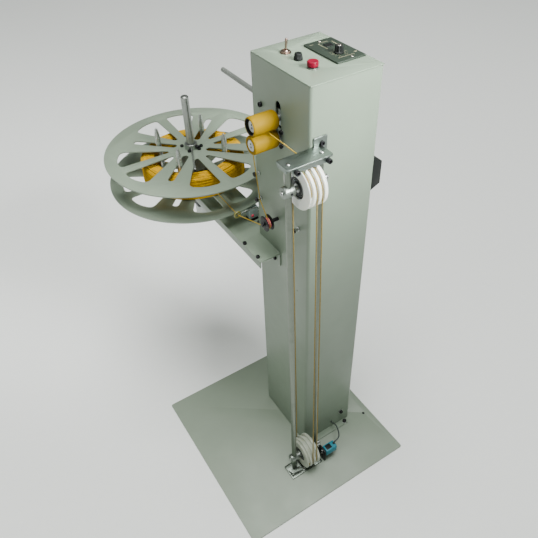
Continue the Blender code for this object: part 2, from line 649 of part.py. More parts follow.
def yarn_eyelet():
    """Ceramic ring on a bent rod that stands on the arm, in front of the reel's rim."""
    x, y, z = EYELET
    post_x = 0.019
    ring = turned("yarn_eyelet", [(0.0050, -0.0025), (0.0080, -0.0025), (0.0092, 0.0),
                                  (0.0080, 0.0025), (0.0050, 0.0025), (0.0040, 0.0)],
                  CERAMIC, at(x, y, z), "Y", 20)
    boolean(ring, turned("join_eyelet_rod", rod_profile(0.0019, post_x - x - 0.0062), CERAMIC,
                         at(x + 0.0080, y, z), "X", 10), "UNION")
    boolean(ring, turned("join_eyelet_post", rod_profile(0.0025, z - ARM_TOP - GAP + 0.0025), CERAMIC,
                         at(post_x, y, ARM_TOP + GAP), "Z", 12), "UNION")


PIN_Y, PIN_Z = 0.169, 0.717


def guide_pin():
    turned("guide_pin", [(0, 0), (0.0045, 0), (0.0050, 0.0008), (0.0050, 0.0040), (0.0028, 0.0040),
                         (0.0028, 0.0120), (0.0050, 0.0120), (0.0050, 0.0137), (0, 0.0137)],
           BLACK_STEEL, at(-0.0140, PIN_Y, PIN_Z), "X", SEG_SMALL)


# ---- pulley units in front of the column -------------------------------------------------------
def lean(height):
    """Offset of the guide rods' line at a height, from the lower unit to the upper one."""
    bottom, top = Vector(BOTTOM_PULLEY), Vector(TOP_PULLEY)
    t = (height - bottom.z) / (top.z - bottom.z)
    return bottom.lerp(top, t)


def pulley(name, face):
    """Nylon pulley with three rope grooves between four ridges, bored for its bearing."""
    profile = [(0.0205, 0.0), (PULLEY_R - 0.0015, 0.0), (PULLEY_R, 0.0012)]
    for i in range(3):
        centre = GROOVE_FIRST + i * GROOVE_STEP
        profile += [(PULLEY_R, centre - 0.0032), (GROOVE_R + 0.001, centre - 0.0022),
                    (GROOVE_R, centre), (GROOVE_R + 0.001, centre + 0.0022),
                    (PULLEY_R, centre + 0.0032)]
    profile += [(PULLEY_R, PULLEY_L - 0.0012), (PULLEY_R - 0.0015, PULLEY_L), (0.0080, PULLEY_L),
                (0.0080, 0.0110), (0.0205, 0.0110)]
    turned(name, profile, NYLON, at(*face), "X", SEG)
    turned(name + "_bearing", [(SHAFT_R + GAP, 0.0010), (0.0115, 0.0010), (0.0120, 0.0030),
                               (0.0202, 0.0035), (0.0202, 0.0107), (SHAFT_R + GAP, 0.0107)],
           BLACK_STEEL, at(*face), "X", 24)


def unit_shaft(name, face):
    """Pulley shaft with a cross-drilled head that the right guide rod passes through."""
    x, y, z = face
    start = ROD_LEFT_DX + 0.0106
    shaft = turned(name, [(0, start), (SHAFT_R, start), (SHAFT_R, PULLEY_L + 0.003),
                          (0.0085, PULLEY_L + 0.004), (0.0085, PULLEY_L + 0.022),
                          (0.0078, PULLEY_L + 0.0228), (0.0042, PULLEY_L + 0.0228),
                          (0.0042, PULLEY_L + 0.0268), (0, PULLEY_L + 0.0268)],
                   STEEL, at(x, y, z), "X", 20)
    bore(shaft, "cut_" + name, 0.0052, at(x + ROD_RIGHT_DX, y, z - 0.02), 0.04, "Z")


def rod_clamp(name, face):
    """Cross-drilled round clamp on the left guide rod, with its set screw's head outside."""
    x, y, z = face
    clamp = turned(name, [(0, -0.0150), (0.0036, -0.0150), (0.0036, -0.0118), (0.0100, -0.0118),
                          (0.0110, -0.0108), (0.0110, 0.0094), (0.0104, 0.0102), (0, 0.0102)],
                   ZINC, at(x + ROD_LEFT_DX, y, z), "X", 24)
    bore(clamp, "cut_" + name, ROD_R + 0.0007, at(x + ROD_LEFT_DX, y, z - 0.02), 0.04, "Z")


def guide_rods():
    """The two rods lean a little, because the lower bracket stands further out than the upper."""
    foot, head = 0.004 + GAP, BRACKET_Z - GAP
    for name, dx, radius in (("guide_rod_left", ROD_LEFT_DX, ROD_R),
                             ("guide_rod_right", ROD_RIGHT_DX, 0.0045)):
        low, high = lean(foot), lean(head)
        leaning_rod(name, at(low.x + dx, low.y, foot), at(high.x + dx, high.y, head), radius, STEEL)


def top_bracket():
    """Folded plate screwed to the column's front, with a front lip, an end lip and a wall tab."""
    back = -GAP
    plate = extruded("top_bracket", rounded(rectangle(-0.069, 0.022, -0.0385, back),
                                            [0.006, 0.006, 0.003, 0.004], 2), [], 0.004, ZINC,
                     at(0, 0, BRACKET_Z))
    parts = {
        "join_front_lip": ((-0.061, -0.0383, BRACKET_Z - 0.008), (0.014, -0.0353, BRACKET_Z + 0.003)),
        "join_end_lip": ((-0.0688, -0.031, BRACKET_Z - 0.006), (-0.0662, -0.004, BRACKET_Z + 0.003)),
        "join_wall_tab": ((0.006, back - 0.003, BRACKET_Z - 0.030), (0.034, back + 0.0001, BRACKET_Z + 0.020)),
    }
    for name, (low, high) in parts.items():
        boolean(plate, block(name, at(*low), at(*high), ZINC), "UNION")


def bottom_bracket():
    """Flat bracket screwed to the base plate under the lower pulley."""
    x, y, _ = BOTTOM_PULLEY
    outline = rounded_rectangle(-0.088, 0.006, y - 0.026, y + 0.016, 0.003, 2)
    extruded("bottom_bracket", outline, [circle(-0.080, y - 0.014, 0.0025, 10)], 0.004 - GAP, ZINC,
             at(0, 0, GAP))


def pulley_sensor():
    """Proximity sensor that counts the lower pulley's turns, on an L bracket on the base plate."""
    bracket = block("sensor_bracket", at(0.0110, -0.0600, GAP), at(0.0300, -0.0330, 0.003), BLACK_STEEL)
    boolean(bracket, block("join_sensor_post", at(0.0112, -0.0750, 0.0005), at(0.0160, -0.0500, 0.044),
                           BLACK_STEEL), "UNION")
    block("pulley_sensor", at(0.0163, -0.0770, 0.024), at(0.0500, -0.0570, 0.046), SENSOR_BLUE, 0.001)


def sensor_cable():
    """Cable from the sensor's top, over in a loose bow and in through the column's front wall."""
    route = [at(0.0465, -0.0667, 0.0472), at(0.0495, -0.0675, 0.0530), at(0.0590, -0.0665, 0.0560),
             at(0.0685, -0.0600, 0.0525), at(0.0775, -0.0470, 0.0465), at(0.0850, -0.0310, 0.0410),
             at(0.0893, -0.0170, 0.0340), at(0.0900, -0.0080, 0.0275), at(0.0896, -0.0010, 0.0243),
             at(0.0895, 0.0080, 0.0240)]
    tube("sensor_cable", smooth_route(route, 3), 0.0018, CABLE_GREY)


# ---- yarn runs ---------------------------------------------------------------------------------
def groove_x(face, index):
    return face[0] + GROOVE_FIRST + index * GROOVE_STEP


def yarn_runs():
    """Straight strands between the pulleys, and the guided runs to the rollers and to the reel."""
    clear = GROOVE_R + STRAND_R + 0.0004
    top, low = Vector(TOP_PULLEY), Vector(BOTTOM_PULLEY)
    for name, index, side in (("yarn_front_left", 1, -1), ("yarn_front_right", 2, -1),
                              ("yarn_back_left", 0, 1), ("yarn_back_middle", 1, 1)):
        ends = [at(groove_x(face, index), face[1] + side * clear, face[2])
                for face in (BOTTOM_PULLEY, TOP_PULLEY)]
        tube(name, ends, STRAND_R, YARN)
    nip = ROLLER_LOW_Z + ROLLER_R
    start = at(groove_x(TOP_PULLEY, 2), top.y + 0.012, top.z + 0.0375)
    tube("yarn_to_rollers", [start, at(-0.026, ROLLER_Y - 0.012, nip + 0.0005)], YARN_R, YARN)
    x, y, z = EYELET
    wrap_r = 0.0112
    run = [at(-0.050, ROLLER_Y + 0.0175, nip + 0.0005), at(-0.0062, PIN_Y - 0.0045, PIN_Z)]
    run += [at(GUIDE_X - 0.007, GUIDE_Y + wrap_r * math.cos(math.radians(a)),
               GUIDE_Z + wrap_r * math.sin(math.radians(a))) for a in (95, 135, 175, 215, 253)]
    run += [at(x, y, z), at(-0.050, 0.3090, 0.690)]
    tube("yarn_to_reel", run, YARN_R, YARN)


# ---- build -------------------------------------------------------------------------------------
base_plate()
column_shell()
rear_cover()
top_panel()
mains_inlet()
rear_rod()
speed_controller()
speed_knob()
run_rocker()
toggle_switch()
fuse_holder()
push_button()
roller("lower", ROLLER_LOW_Z)
roller("upper", ROLLER_LOW_Z + 2 * ROLLER_R)
roller_frame()
roller_carriage()
feed_gearmotor()
reel_arm()
spindle_housing()
reel_motor()
spindle()
reel_flange("lower_reel_flange", LOWER_FLANGE_Z, SPINDLE_R + GAP)
reel_flange("upper_reel_flange", UPPER_FLANGE_Z, 0.012)
upper_collar()
reel_pegs()
yarn_coil()
guide_pulley()
reel_sensor()
yarn_eyelet()
guide_pin()
pulley("top_pulley", TOP_PULLEY)
pulley("bottom_pulley", BOTTOM_PULLEY)
unit_shaft("top_shaft", TOP_PULLEY)
unit_shaft("bottom_shaft", BOTTOM_PULLEY)
rod_clamp("top_rod_clamp", TOP_PULLEY)
rod_clamp("bottom_rod_clamp", BOTTOM_PULLEY)
guide_rods()
top_bracket()
bottom_bracket()
pulley_sensor()
sensor_cable()
yarn_runs()
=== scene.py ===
"""Looks of the ball winder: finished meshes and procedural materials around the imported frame.

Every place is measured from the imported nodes. The pieces that replace a node keep its size.
"""
import math
import random

import bmesh
import bpy
from mathutils import Matrix, Vector


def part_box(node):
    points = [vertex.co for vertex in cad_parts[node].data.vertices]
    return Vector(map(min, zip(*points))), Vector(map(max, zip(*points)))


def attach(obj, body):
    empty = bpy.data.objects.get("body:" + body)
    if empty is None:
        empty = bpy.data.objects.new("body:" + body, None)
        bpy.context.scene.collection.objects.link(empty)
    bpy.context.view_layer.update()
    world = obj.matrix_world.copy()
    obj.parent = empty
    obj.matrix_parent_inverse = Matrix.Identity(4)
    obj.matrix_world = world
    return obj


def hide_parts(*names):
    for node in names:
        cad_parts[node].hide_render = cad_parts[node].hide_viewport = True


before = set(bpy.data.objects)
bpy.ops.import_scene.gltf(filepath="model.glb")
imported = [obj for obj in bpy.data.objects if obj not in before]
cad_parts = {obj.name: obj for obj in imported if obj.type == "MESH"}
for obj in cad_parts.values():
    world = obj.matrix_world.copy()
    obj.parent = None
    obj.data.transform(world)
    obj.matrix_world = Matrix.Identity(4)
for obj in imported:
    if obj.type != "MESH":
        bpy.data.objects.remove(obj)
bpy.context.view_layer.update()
random.seed(7)

COLUMN = "column"
RING = 96                  # sides of a round piece

panel_low, panel_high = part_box("top_panel")
base_low, base_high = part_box("base_plate")
CORNER = Vector((panel_low.x, panel_low.y, base_high.z))   # column's front left foot corner
COLUMN_W = panel_high.x - panel_low.x
COLUMN_D = panel_high.y - panel_low.y
COLUMN_H = panel_high.z - base_high.z
SHEET = 0.002


def at(dx, dy, dz):
    """A place given from the column's front left foot corner, on top of the base plate."""
    return CORNER + Vector((dx, dy, dz))


def middle(node):
    low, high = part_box(node)
    return (low + high) / 2


# ---- materials ---------------------------------------------------------------------------------
class Nodes:
    """Builds one Principled material from short calls."""

    def __init__(self, name, colour, roughness, metallic=0.0, **sockets):
        self.mat = bpy.data.materials.new(name)
        self.mat.use_nodes = True
        self.mat.diffuse_color = (*colour, 1.0)
        self.tree = self.mat.node_tree
        self.shader = self.tree.nodes["Principled BSDF"]
        self.colour = colour
        self.shader.inputs["Base Color"].default_value = (*colour, 1.0)
        self.shader.inputs["Roughness"].default_value = roughness
        self.shader.inputs["Metallic"].default_value = metallic
        for socket, value in sockets.items():
            self.shader.inputs[socket.replace("_", " ")].default_value = value
        self.place = self.add("ShaderNodeTexCoord").outputs["Object"]
        self.height = None

    def add(self, kind, **values):
        node = self.tree.nodes.new(kind)
        for key, value in values.items():
            if hasattr(node, key):
                setattr(node, key, value)
            else:
                node.inputs[key.replace("_", " ")].default_value = value
        return node

    def link(self, output, socket):
        self.tree.links.new(output, socket)
        return self

    def stretched(self, scale):
        node = self.add("ShaderNodeMapping")
        node.inputs["Scale"].default_value = scale
        self.link(self.place, node.inputs["Vector"])
        return node.outputs["Vector"]

    def noise(self, scale, detail=3.0, stretch=None, rough=0.55):
        node = self.add("ShaderNodeTexNoise", Scale=scale, Detail=detail, Roughness=rough)
        self.link(self.stretched(stretch) if stretch else self.place, node.inputs["Vector"])
        return node.outputs["Fac"]

    def ramp(self, fac, low, high, at_low=0.3, at_high=0.7):
        node = self.add("ShaderNodeMapRange", From_Min=at_low, From_Max=at_high, To_Min=low, To_Max=high)
        self.link(fac, node.inputs["Value"])
        return node.outputs["Result"]

    def blend_to(self, colour, fac):
        """Mixes another colour over what the base colour holds so far."""
        mix = self.add("ShaderNodeMix", data_type="RGBA")
        socket = self.shader.inputs["Base Color"]
        if socket.is_linked:
            self.link(socket.links[0].from_socket, mix.inputs[6])
        else:
            mix.inputs[6].default_value = (*self.colour, 1.0)
        mix.inputs[7].default_value = (*colour, 1.0)
        self.link(fac, mix.inputs[0])
        return self.link(mix.outputs[2], socket)

    def rough(self, fac):
        return self.link(fac, self.shader.inputs["Roughness"])

    def bump(self, height, strength, distance):
        node = self.add("ShaderNodeBump", Strength=strength, Distance=distance)
        self.link(height, node.inputs["Height"])
        if self.shader.inputs["Normal"].is_linked:
            self.link(self.shader.inputs["Normal"].links[0].from_socket, node.inputs["Normal"])
        return self.link(node.outputs["Normal"], self.shader.inputs["Normal"])

    def radius(self):
        """Distance from the piece's own axis, its local Z."""
        flat = self.stretched((1, 1, 0))
        node = self.add("ShaderNodeVectorMath", operation="LENGTH")
        self.link(flat, node.inputs[0])
        return node.outputs["Value"]

    def turning_marks(self, scale=2500.0):
        """Fine rings as a lathe tool leaves them, from noise of radius and height."""
        separate = self.add("ShaderNodeSeparateXYZ")
        self.link(self.place, separate.inputs[0])
        combine = self.add("ShaderNodeCombineXYZ")
        self.link(self.radius(), combine.inputs[0])
        self.link(separate.outputs[2], combine.inputs[1])
        node = self.add("ShaderNodeTexNoise", Scale=scale, Detail=2.0)
        self.link(combine.outputs[0], node.inputs["Vector"])
        return node.outputs["Fac"]


def shade(colour, factor):
    return tuple(min(1.0, c * factor) for c in colour)


def painted(name, colour, roughness=0.42):
    """Powder coat: orange peel, faint cloudiness, and dust that gathers unevenly."""
    n = Nodes(name, colour, roughness, Coat_Weight=0.12, Coat_Roughness=0.25)
    n.blend_to(shade(colour, 0.9), n.ramp(n.noise(3.2, 5.0), 0.0, 0.55, 0.35, 0.75))
    n.blend_to(shade(colour, 1.08), n.ramp(n.noise(14.0, 3.0), 0.0, 0.4, 0.45, 0.7))
    n.blend_to((0.25, 0.24, 0.2), n.ramp(n.noise(160.0, 2.0), 0.0, 0.25, 0.7, 0.8))
    n.rough(n.ramp(n.noise(9.0, 4.0), roughness - 0.07, roughness + 0.1))
    return n.bump(n.noise(650.0, 2.0), 0.1, 0.0004).mat


def turned_metal(name, colour, roughness, marks=0.25, scale=2500.0):
    n = Nodes(name, colour, roughness, 1.0)
    n.blend_to(shade(colour, 0.62), n.ramp(n.noise(60.0, 4.0), 0.0, 0.5, 0.5, 0.8))
    n.rough(n.ramp(n.turning_marks(scale), roughness - 0.06, roughness + 0.12))
    return n.bump(n.turning_marks(scale), marks, 0.0002).mat


def rolled_sheet(name, colour, roughness, stretch):
    """Zinc-plated or bare sheet with a rolling grain along one direction."""
    n = Nodes(name, colour, roughness, 1.0)
    n.blend_to(shade(colour, 0.7), n.ramp(n.noise(25.0, 5.0), 0.0, 0.6, 0.45, 0.75))
    n.rough(n.ramp(n.noise(40.0, 4.0, stretch), roughness - 0.08, roughness + 0.14))
    return n.bump(n.noise(220.0, 2.0, stretch), 0.12, 0.0003).mat


def moulded(name, colour, roughness, grain=1800.0, strength=0.18, **sockets):
    n = Nodes(name, colour, roughness, **sockets)
    n.blend_to(shade(colour, 1.5), n.ramp(n.noise(45.0, 4.0), 0.0, 0.45, 0.5, 0.8))
    n.rough(n.ramp(n.noise(80.0, 3.0), roughness - 0.05, roughness + 0.1))
    return n.bump(n.noise(grain, 2.0), strength, 0.0002).mat


def oxide(name):
    """Black oxide screws and bearings, with bare metal showing on a few worn spots."""
    n = Nodes(name, (0.022, 0.022, 0.024), 0.38, 0.7)
    n.blend_to((0.2, 0.2, 0.2), n.ramp(n.noise(900.0, 3.0), 0.0, 0.7, 0.62, 0.75))
    n.rough(n.ramp(n.noise(300.0, 3.0), 0.3, 0.55))
    return n.bump(n.noise(2500.0, 2.0), 0.2, 0.0001).mat


def nylon(name, colour, grubby):
    """Turned nylon: milky, a little translucent, with tool rings and grubby patches."""
    n = Nodes(name, colour, 0.38, Subsurface_Weight=0.25, Subsurface_Scale=0.003)
    n.shader.inputs["Subsurface Radius"].default_value = (1.0, 0.8, 0.6)
    n.blend_to(grubby, n.ramp(n.noise(35.0, 5.0), 0.0, 0.55, 0.5, 0.8))
    n.rough(n.ramp(n.turning_marks(1500.0), 0.32, 0.5))
    return n.bump(n.turning_marks(1500.0), 0.2, 0.0003).mat


def polyurethane(name):
    """Ground amber roller cover, with a matt track where the yarn runs."""
    colour = (0.25, 0.15, 0.001)
    n = Nodes(name, colour, 0.58, Specular_IOR_Level=0.1)
    n.blend_to((0.19, 0.108, 0.001), n.ramp(n.noise(40.0, 5.0), 0.0, 0.6, 0.45, 0.8))
    n.blend_to((0.14, 0.072, 0.001), n.ramp(n.noise(260.0, 3.0, (1, 1, 6)), 0.0, 0.5, 0.6, 0.8))
    n.rough(n.ramp(n.noise(60.0, 3.0), 0.48, 0.66))
    return n.bump(n.turning_marks(1200.0), 0.3, 0.0003).mat


def yarn(name, colour):
    """Spun yarn: painted shade between the fibres as dark noise, fuzzy sheen, fibres as fine bumps."""
    n = Nodes(name, colour, 0.85, Sheen_Weight=0.03, Sheen_Roughness=0.5, Specular_IOR_Level=0.1)
    # painted shade: dark noise for the shade that falls between the fibres
    n.blend_to(shade(colour, 0.38), n.ramp(n.noise(420.0, 4.0), 0.0, 0.8, 0.48, 0.72))
    n.blend_to(shade(colour, 1.35), n.ramp(n.noise(900.0, 3.0), 0.0, 0.5, 0.5, 0.75))
    return n.bump(n.noise(1600.0, 3.0), 0.5, 0.0004).mat


PAINT = painted("column_paint", (0.198, 0.25, 0.188))
REEL_PAINT = painted("reel_paint", (0.205, 0.252, 0.192), 0.36)
BASE_PAINT = painted("base_paint", (0.235, 0.285, 0.22), 0.48)
CHROME = turned_metal("ground_steel", (0.5, 0.52, 0.5), 0.22, 0.1, 900.0)
ROD_STEEL = turned_metal("rod_steel", (0.19, 0.215, 0.18), 0.34, 0.05, 500.0)
SPINDLE_STEEL = turned_metal("spindle_steel", (0.38, 0.4, 0.38), 0.3, 0.3)
ALUMINIUM = turned_metal("turned_aluminium", (0.62, 0.64, 0.62), 0.26, 0.25)
CORE_METAL = turned_metal("roller_end_metal", (0.55, 0.57, 0.57), 0.42, 0.35)
ZINC = rolled_sheet("zinc_sheet", (0.36, 0.41, 0.38), 0.36, (1, 12, 12))
BRIGHT_SHEET = rolled_sheet("bright_sheet", (0.23, 0.27, 0.245), 0.34, (1, 14, 14))
FOOT_SHEET = rolled_sheet("foot_sheet", (0.13, 0.15, 0.13), 0.26, (1, 14, 14))
ZINC_TURNED = turned_metal("zinc_turned", (0.26, 0.29, 0.26), 0.42, 0.3)
NICKEL = turned_metal("nickel_plate", (0.62, 0.56, 0.5), 0.22, 0.1)
TOGGLE_METAL = turned_metal("toggle_metal", (0.33, 0.24, 0.2), 0.3, 0.1)
OXIDE = oxide("black_oxide")
CORE_DARK = moulded("ribbed_core", (0.32, 0.35, 0.31), 0.38)
BLACK = moulded("black_moulding", (0.007, 0.0085, 0.0078), 0.42, Specular_IOR_Level=0.22)
BEARING_BLACK = moulded("bearing_seal", (0.022, 0.026, 0.024), 0.55)
DRAWN_ROD = moulded("drawn_rod", (0.22, 0.235, 0.215), 0.4, 700.0, 0.05, Metallic=0.35)
CASTING = moulded("motor_casting", (0.05, 0.055, 0.055), 0.55, 500.0, 0.4)
PANEL = painted("panel_enamel", (0.018, 0.028, 0.019), 0.45)
PANEL_MARK = moulded("panel_mark", (0.2, 0.19, 0.12), 0.5)
RED = moulded("red_button_plastic", (0.17, 0.001, 0.016), 0.34, Specular_IOR_Level=0.2)
PINK = moulded("pink_liner", (0.72, 0.12, 0.18), 0.4)
TEAL = moulded("teal_housing", (0.012, 0.2, 0.27), 0.4)
OLIVE = moulded("olive_ceramic", (0.2, 0.19, 0.035), 0.25, 900.0, 0.1, Coat_Weight=0.5)
CABLE = moulded("cable_sheath", (0.05, 0.062, 0.06), 0.5, 1200.0, 0.25)
# The bottom pulley gets a darker copy of the same nylon: painted shade for a pulley that sits in shade.
NYLON = {"top": nylon("clean_nylon", (0.88, 0.9, 0.84), (0.72, 0.72, 0.62)),
         "bottom": nylon("shaded_nylon", (0.42, 0.45, 0.37), (0.32, 0.33, 0.26))}
AMBER = polyurethane("amber_polyurethane")
COIL_YARN = yarn("coil_yarn", (0.66, 0.38, 0.002))
RUN_YARN = yarn("run_yarn", (0.46, 0.31, 0.04))
STRAND_YARN = yarn("strand_yarn", (0.27, 0.205, 0.07))
SENSOR_CASE = moulded("smoked_case", (0.3, 0.37, 0.36), 0.15, 900.0, 0.05, Coat_Weight=0.5)
LAMP = moulded("red_lamp", (0.75, 0.05, 0.1), 0.2, 900.0, 0.05, Coat_Weight=0.6)
FLOOR = moulded("pale_floor", (0.95, 0.96, 0.95), 0.9, 300.0, 0.02)


# ---- mesh helpers ------------------------------------------------------------------------------
AXIS_TURN = {
    "X": Matrix.Rotation(math.radians(90), 4, "Y"),
    "-X": Matrix.Rotation(math.radians(-90), 4, "Y"),
    "Y": Matrix.Rotation(math.radians(-90), 4, "X"),
    "-Y": Matrix.Rotation(math.radians(90), 4, "X"),
    "Z": Matrix.Identity(4),
    "-Z": Matrix.Rotation(math.radians(180), 4, "X"),
}


def finished(name, bm, mat, place=(0, 0, 0), axis="Z", smooth=True, angle=32):
    """An object of bm, its local +Z turned to the axis and its origin at place."""
    bmesh.ops.remove_doubles(bm, verts=bm.verts, dist=2e-6)
    bmesh.ops.recalc_face_normals(bm, faces=bm.faces)
    mesh = bpy.data.meshes.new(name)
    bm.to_mesh(mesh)
    bm.free()
    if smooth:
        mesh.shade_smooth()
        mesh.set_sharp_from_angle(angle=math.radians(angle))
    obj = bpy.data.objects.new(name, mesh)
    turn = axis if isinstance(axis, Matrix) else AXIS_TURN[axis]
    obj.matrix_world = Matrix.Translation(place) @ turn
    mesh.materials.append(mat)
    bpy.context.scene.collection.objects.link(obj)
    return obj


def eased(points, radius, steps=3, closed=False):
    """The points with each corner rounded off, unless its neighbours are too near."""
    out = []
    count = len(points)
    for i, point in enumerate(points):
        ends = not closed and i in (0, count - 1)
        corner = Vector(point[:2])
        r = radius if len(point) < 3 else point[2]
        before = Vector(points[i - 1][:2]) - corner
        after = Vector(points[(i + 1) % count][:2]) - corner
        if ends or r <= 0 or before.length < 1e-7 or after.length < 1e-7:
            out.append(tuple(corner))
            continue
        start = corner + before.normalized() * min(r, before.length * 0.48)
        stop = corner + after.normalized() * min(r, after.length * 0.48)
        for k in range(steps + 1):
            t = k / steps
            out.append(tuple(start * (1 - t) ** 2 + corner * 2 * t * (1 - t) + stop * t ** 2))
    return out


def turned(name, profile, mat, place, axis="Z", ease=0.0005, segments=RING, steps=3):
    """A lathe part with eased edges. A bored part's profile is a closed loop."""
    closed = profile[0][0] > 0 and profile[-1][0] > 0
    points = eased(profile, ease, steps, closed)
    bm = bmesh.new()
    verts = [bm.verts.new((max(r, 0), 0, h)) for r, h in points]
    edges = [bm.edges.new(pair) for pair in zip(verts, verts[1:])]
    if closed:
        edges.append(bm.edges.new((verts[-1], verts[0])))
    bmesh.ops.spin(bm, geom=verts + edges, axis=(0, 0, 1), cent=(0, 0, 0),
                   steps=segments, angle=math.tau, use_merge=True)
    return finished(name, bm, mat, place, axis)


def arc(cx, cy, radius, start, stop, steps):
    angles = [math.radians(start + (stop - start) * i / steps) for i in range(steps + 1)]
    return [(cx + radius * math.cos(a), cy + radius * math.sin(a)) for a in angles]


def circle(cx, cy, radius, steps=48):
    return arc(cx, cy, radius, 0, 360, steps)[:-1]


def rectangle(x0, x1, y0, y1, radius=0.0, steps=5):
    corners = [(x0, y0), (x1, y0), (x1, y1), (x0, y1)]
    return eased(corners, radius, steps, True) if radius else corners


def stadium(x0, x1, half, steps=14):
    return arc(x1 - half, 0, half, -90, 90, steps) + arc(x0 + half, 0, half, 90, 270, steps)


def spun(points, degrees):
    c, s = math.cos(math.radians(degrees)), math.sin(math.radians(degrees))
    return [(x * c - y * s, x * s + y * c) for x, y in points]


def polar(radius, degrees):
    return (radius * math.cos(math.radians(degrees)), radius * math.sin(math.radians(degrees)))


def applied(obj):
    """The object with its modifiers made real."""
    bpy.context.view_layer.update()
    graph = bpy.context.evaluated_depsgraph_get()
    mesh = bpy.data.meshes.new_from_object(obj.evaluated_get(graph))
    obj.modifiers.clear()
    obj.data = mesh
    return obj


def bevelled(obj, width, segments=2, angle=35):
    mod = obj.modifiers.new("edges", "BEVEL")
    mod.width = width
    mod.segments = segments
    mod.limit_method = "ANGLE"
    mod.angle_limit = math.radians(angle)
    mod.harden_normals = False
    applied(obj)
    obj.data.shade_smooth()
    obj.data.set_sharp_from_angle(angle=math.radians(38))
    return obj


def extruded(name, outer, holes, depth, mat, place, axis="Z", bevel=0.0004, segments=2):
    """A flat outline with holes, extruded along local +Z, with eased edges."""
    bm = bmesh.new()
    edges = []
    for loop in [outer] + list(holes):
        verts = [bm.verts.new((x, y, 0)) for x, y in loop]
        edges += [bm.edges.new((verts[i - 1], verts[i])) for i in range(len(verts))]
    bmesh.ops.triangle_fill(bm, use_beauty=True, use_dissolve=False, edges=edges)
    bmesh.ops.dissolve_limit(bm, angle_limit=0.01, verts=bm.verts, edges=bm.edges)
    grown = bmesh.ops.extrude_face_region(bm, geom=list(bm.faces), use_keep_orig=True)
    moved = [item for item in grown["geom"] if isinstance(item, bmesh.types.BMVert)]
    bmesh.ops.translate(bm, verts=moved, vec=(0, 0, depth))
    obj = finished(name, bm, mat, place, axis)
    return bevelled(obj, bevel, segments) if bevel else obj


def block(name, low, high, mat, bevel=0.0006, segments=3):
    bm = bmesh.new()
    bmesh.ops.create_cube(bm, size=1.0)
    bmesh.ops.scale(bm, vec=Vector(high) - Vector(low), verts=bm.verts)
    obj = finished(name, bm, mat, (Vector(low) + Vector(high)) / 2)
    return bevelled(obj, bevel, segments) if bevel else obj


def boolean(target, tool):
    """Cuts the target with a tool, which is used up."""
    mod = target.modifiers.new("cut", "BOOLEAN")
    mod.operation = "DIFFERENCE"
    mod.solver = "EXACT"
    mod.object = tool
    applied(target)
    bpy.data.objects.remove(tool)
    target.data.shade_smooth()
    target.data.set_sharp_from_angle(angle=math.radians(32))
    return target


def bored(target, radius, start, length, axis, segments=48):
    tool = turned("bore", [(0, 0), (radius, 0), (radius, length), (0, length)], OXIDE, start, axis,
                  0, segments)
    return boolean(target, tool)


def joined(name, pieces):
    """One piece made of several, each with its own material. The first one's origin stays."""
    first = pieces[0]
    bm = bmesh.new()
    slots = []
    for piece in pieces:
        for mat in piece.data.materials:
            if mat not in slots:
                slots.append(mat)
    back = first.matrix_world.inverted()
    for piece in pieces:
        start = len(bm.faces)
        mesh = piece.data.copy()
        mesh.transform(back @ piece.matrix_world)
        bm.from_mesh(mesh)
        bm.faces.ensure_lookup_table()
        for face in bm.faces[start:]:
            face.material_index = slots.index(piece.data.materials[face.material_index])
    mesh = bpy.data.meshes.new(name)
    bm.to_mesh(mesh)
    bm.free()
    for mat in slots:
        mesh.materials.append(mat)
    for piece in pieces[1:]:
        bpy.data.objects.remove(piece)
    first.data = mesh
    first.name = name
    return first


def placed(obj, body, slot, *nodes):
    """Rides the piece on a body and hides the nodes it stands for; its slot is not used."""
    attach(obj, body)
    if nodes:
        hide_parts(*nodes)
    return obj


def swept(name, path, outline_at, mat):
    """A tube along a path; outline_at(i) gives the section's (x, y) points at path point i."""
    points = [Vector(p) for p in path]
    count = len(points)
    bm = bmesh.new()
    rings = []
    normal = None
    for i, point in enumerate(points):
        ahead = points[i + 1] if i < count - 1 else point
        behind = points[i - 1] if i > 0 else point
        tangent = (ahead - behind).normalized()
        if normal is None:
            normal = tangent.orthogonal().normalized()
        normal = (normal - tangent * normal.dot(tangent)).normalized()
        side = tangent.cross(normal)
        rings.append([bm.verts.new(point + normal * x + side * y) for x, y in outline_at(i)])
    sides = len(rings[0])
    for a, b in zip(rings, rings[1:]):
        for k in range(sides):
            bm.faces.new((a[k - 1], a[k], b[k], b[k - 1]))
    bm.faces.new(list(reversed(rings[0])))
    bm.faces.new(rings[-1])
    return finished(name, bm, mat, (0, 0, 0), "Z", True, 60)


def smooth_route(points, steps):
    """Points of a Catmull-Rom curve through the route's own points."""
    knots = [Vector(p) for p in points]
    ends = [knots[0] * 2 - knots[1]] + knots + [knots[-1] * 2 - knots[-2]]
    route = []
    for a, b, c, d in zip(ends, ends[1:], ends[2:], ends[3:]):
        for k in range(steps):
            t = k / steps
            route.append(0.5 * (2 * b + (c - a) * t + (2 * a - 5 * b + 4 * c - d) * t * t
                                + (3 * b - a - 3 * c + d) * t ** 3))
    return route + [knots[-1]]


def ply_yarn(name, path, radius, mat, pitch=0.0055, plies=2, step=0.0009):
    """Twisted yarn: a lobed section that turns once per pitch."""
    points = [Vector(path[0])]
    for a, b in zip(path, path[1:]):
        a, b = Vector(a), Vector(b)
        count = max(1, round((b - a).length / step))
        points += [a.lerp(b, (k + 1) / count) for k in range(count)]
    run = [0.0]
    for a, b in zip(points, points[1:]):
        run.append(run[-1] + (b - a).length)

    def section(i):
        turn = run[i] / pitch * math.tau
        out = []
        for k in range(12):
            a = math.tau * k / 12
            lobe = 0.8 + 0.2 * math.cos(plies * (a - turn))
            out.append((radius * lobe * math.cos(a), radius * lobe * math.sin(a)))
        return out
    return swept(name, points, section, mat)


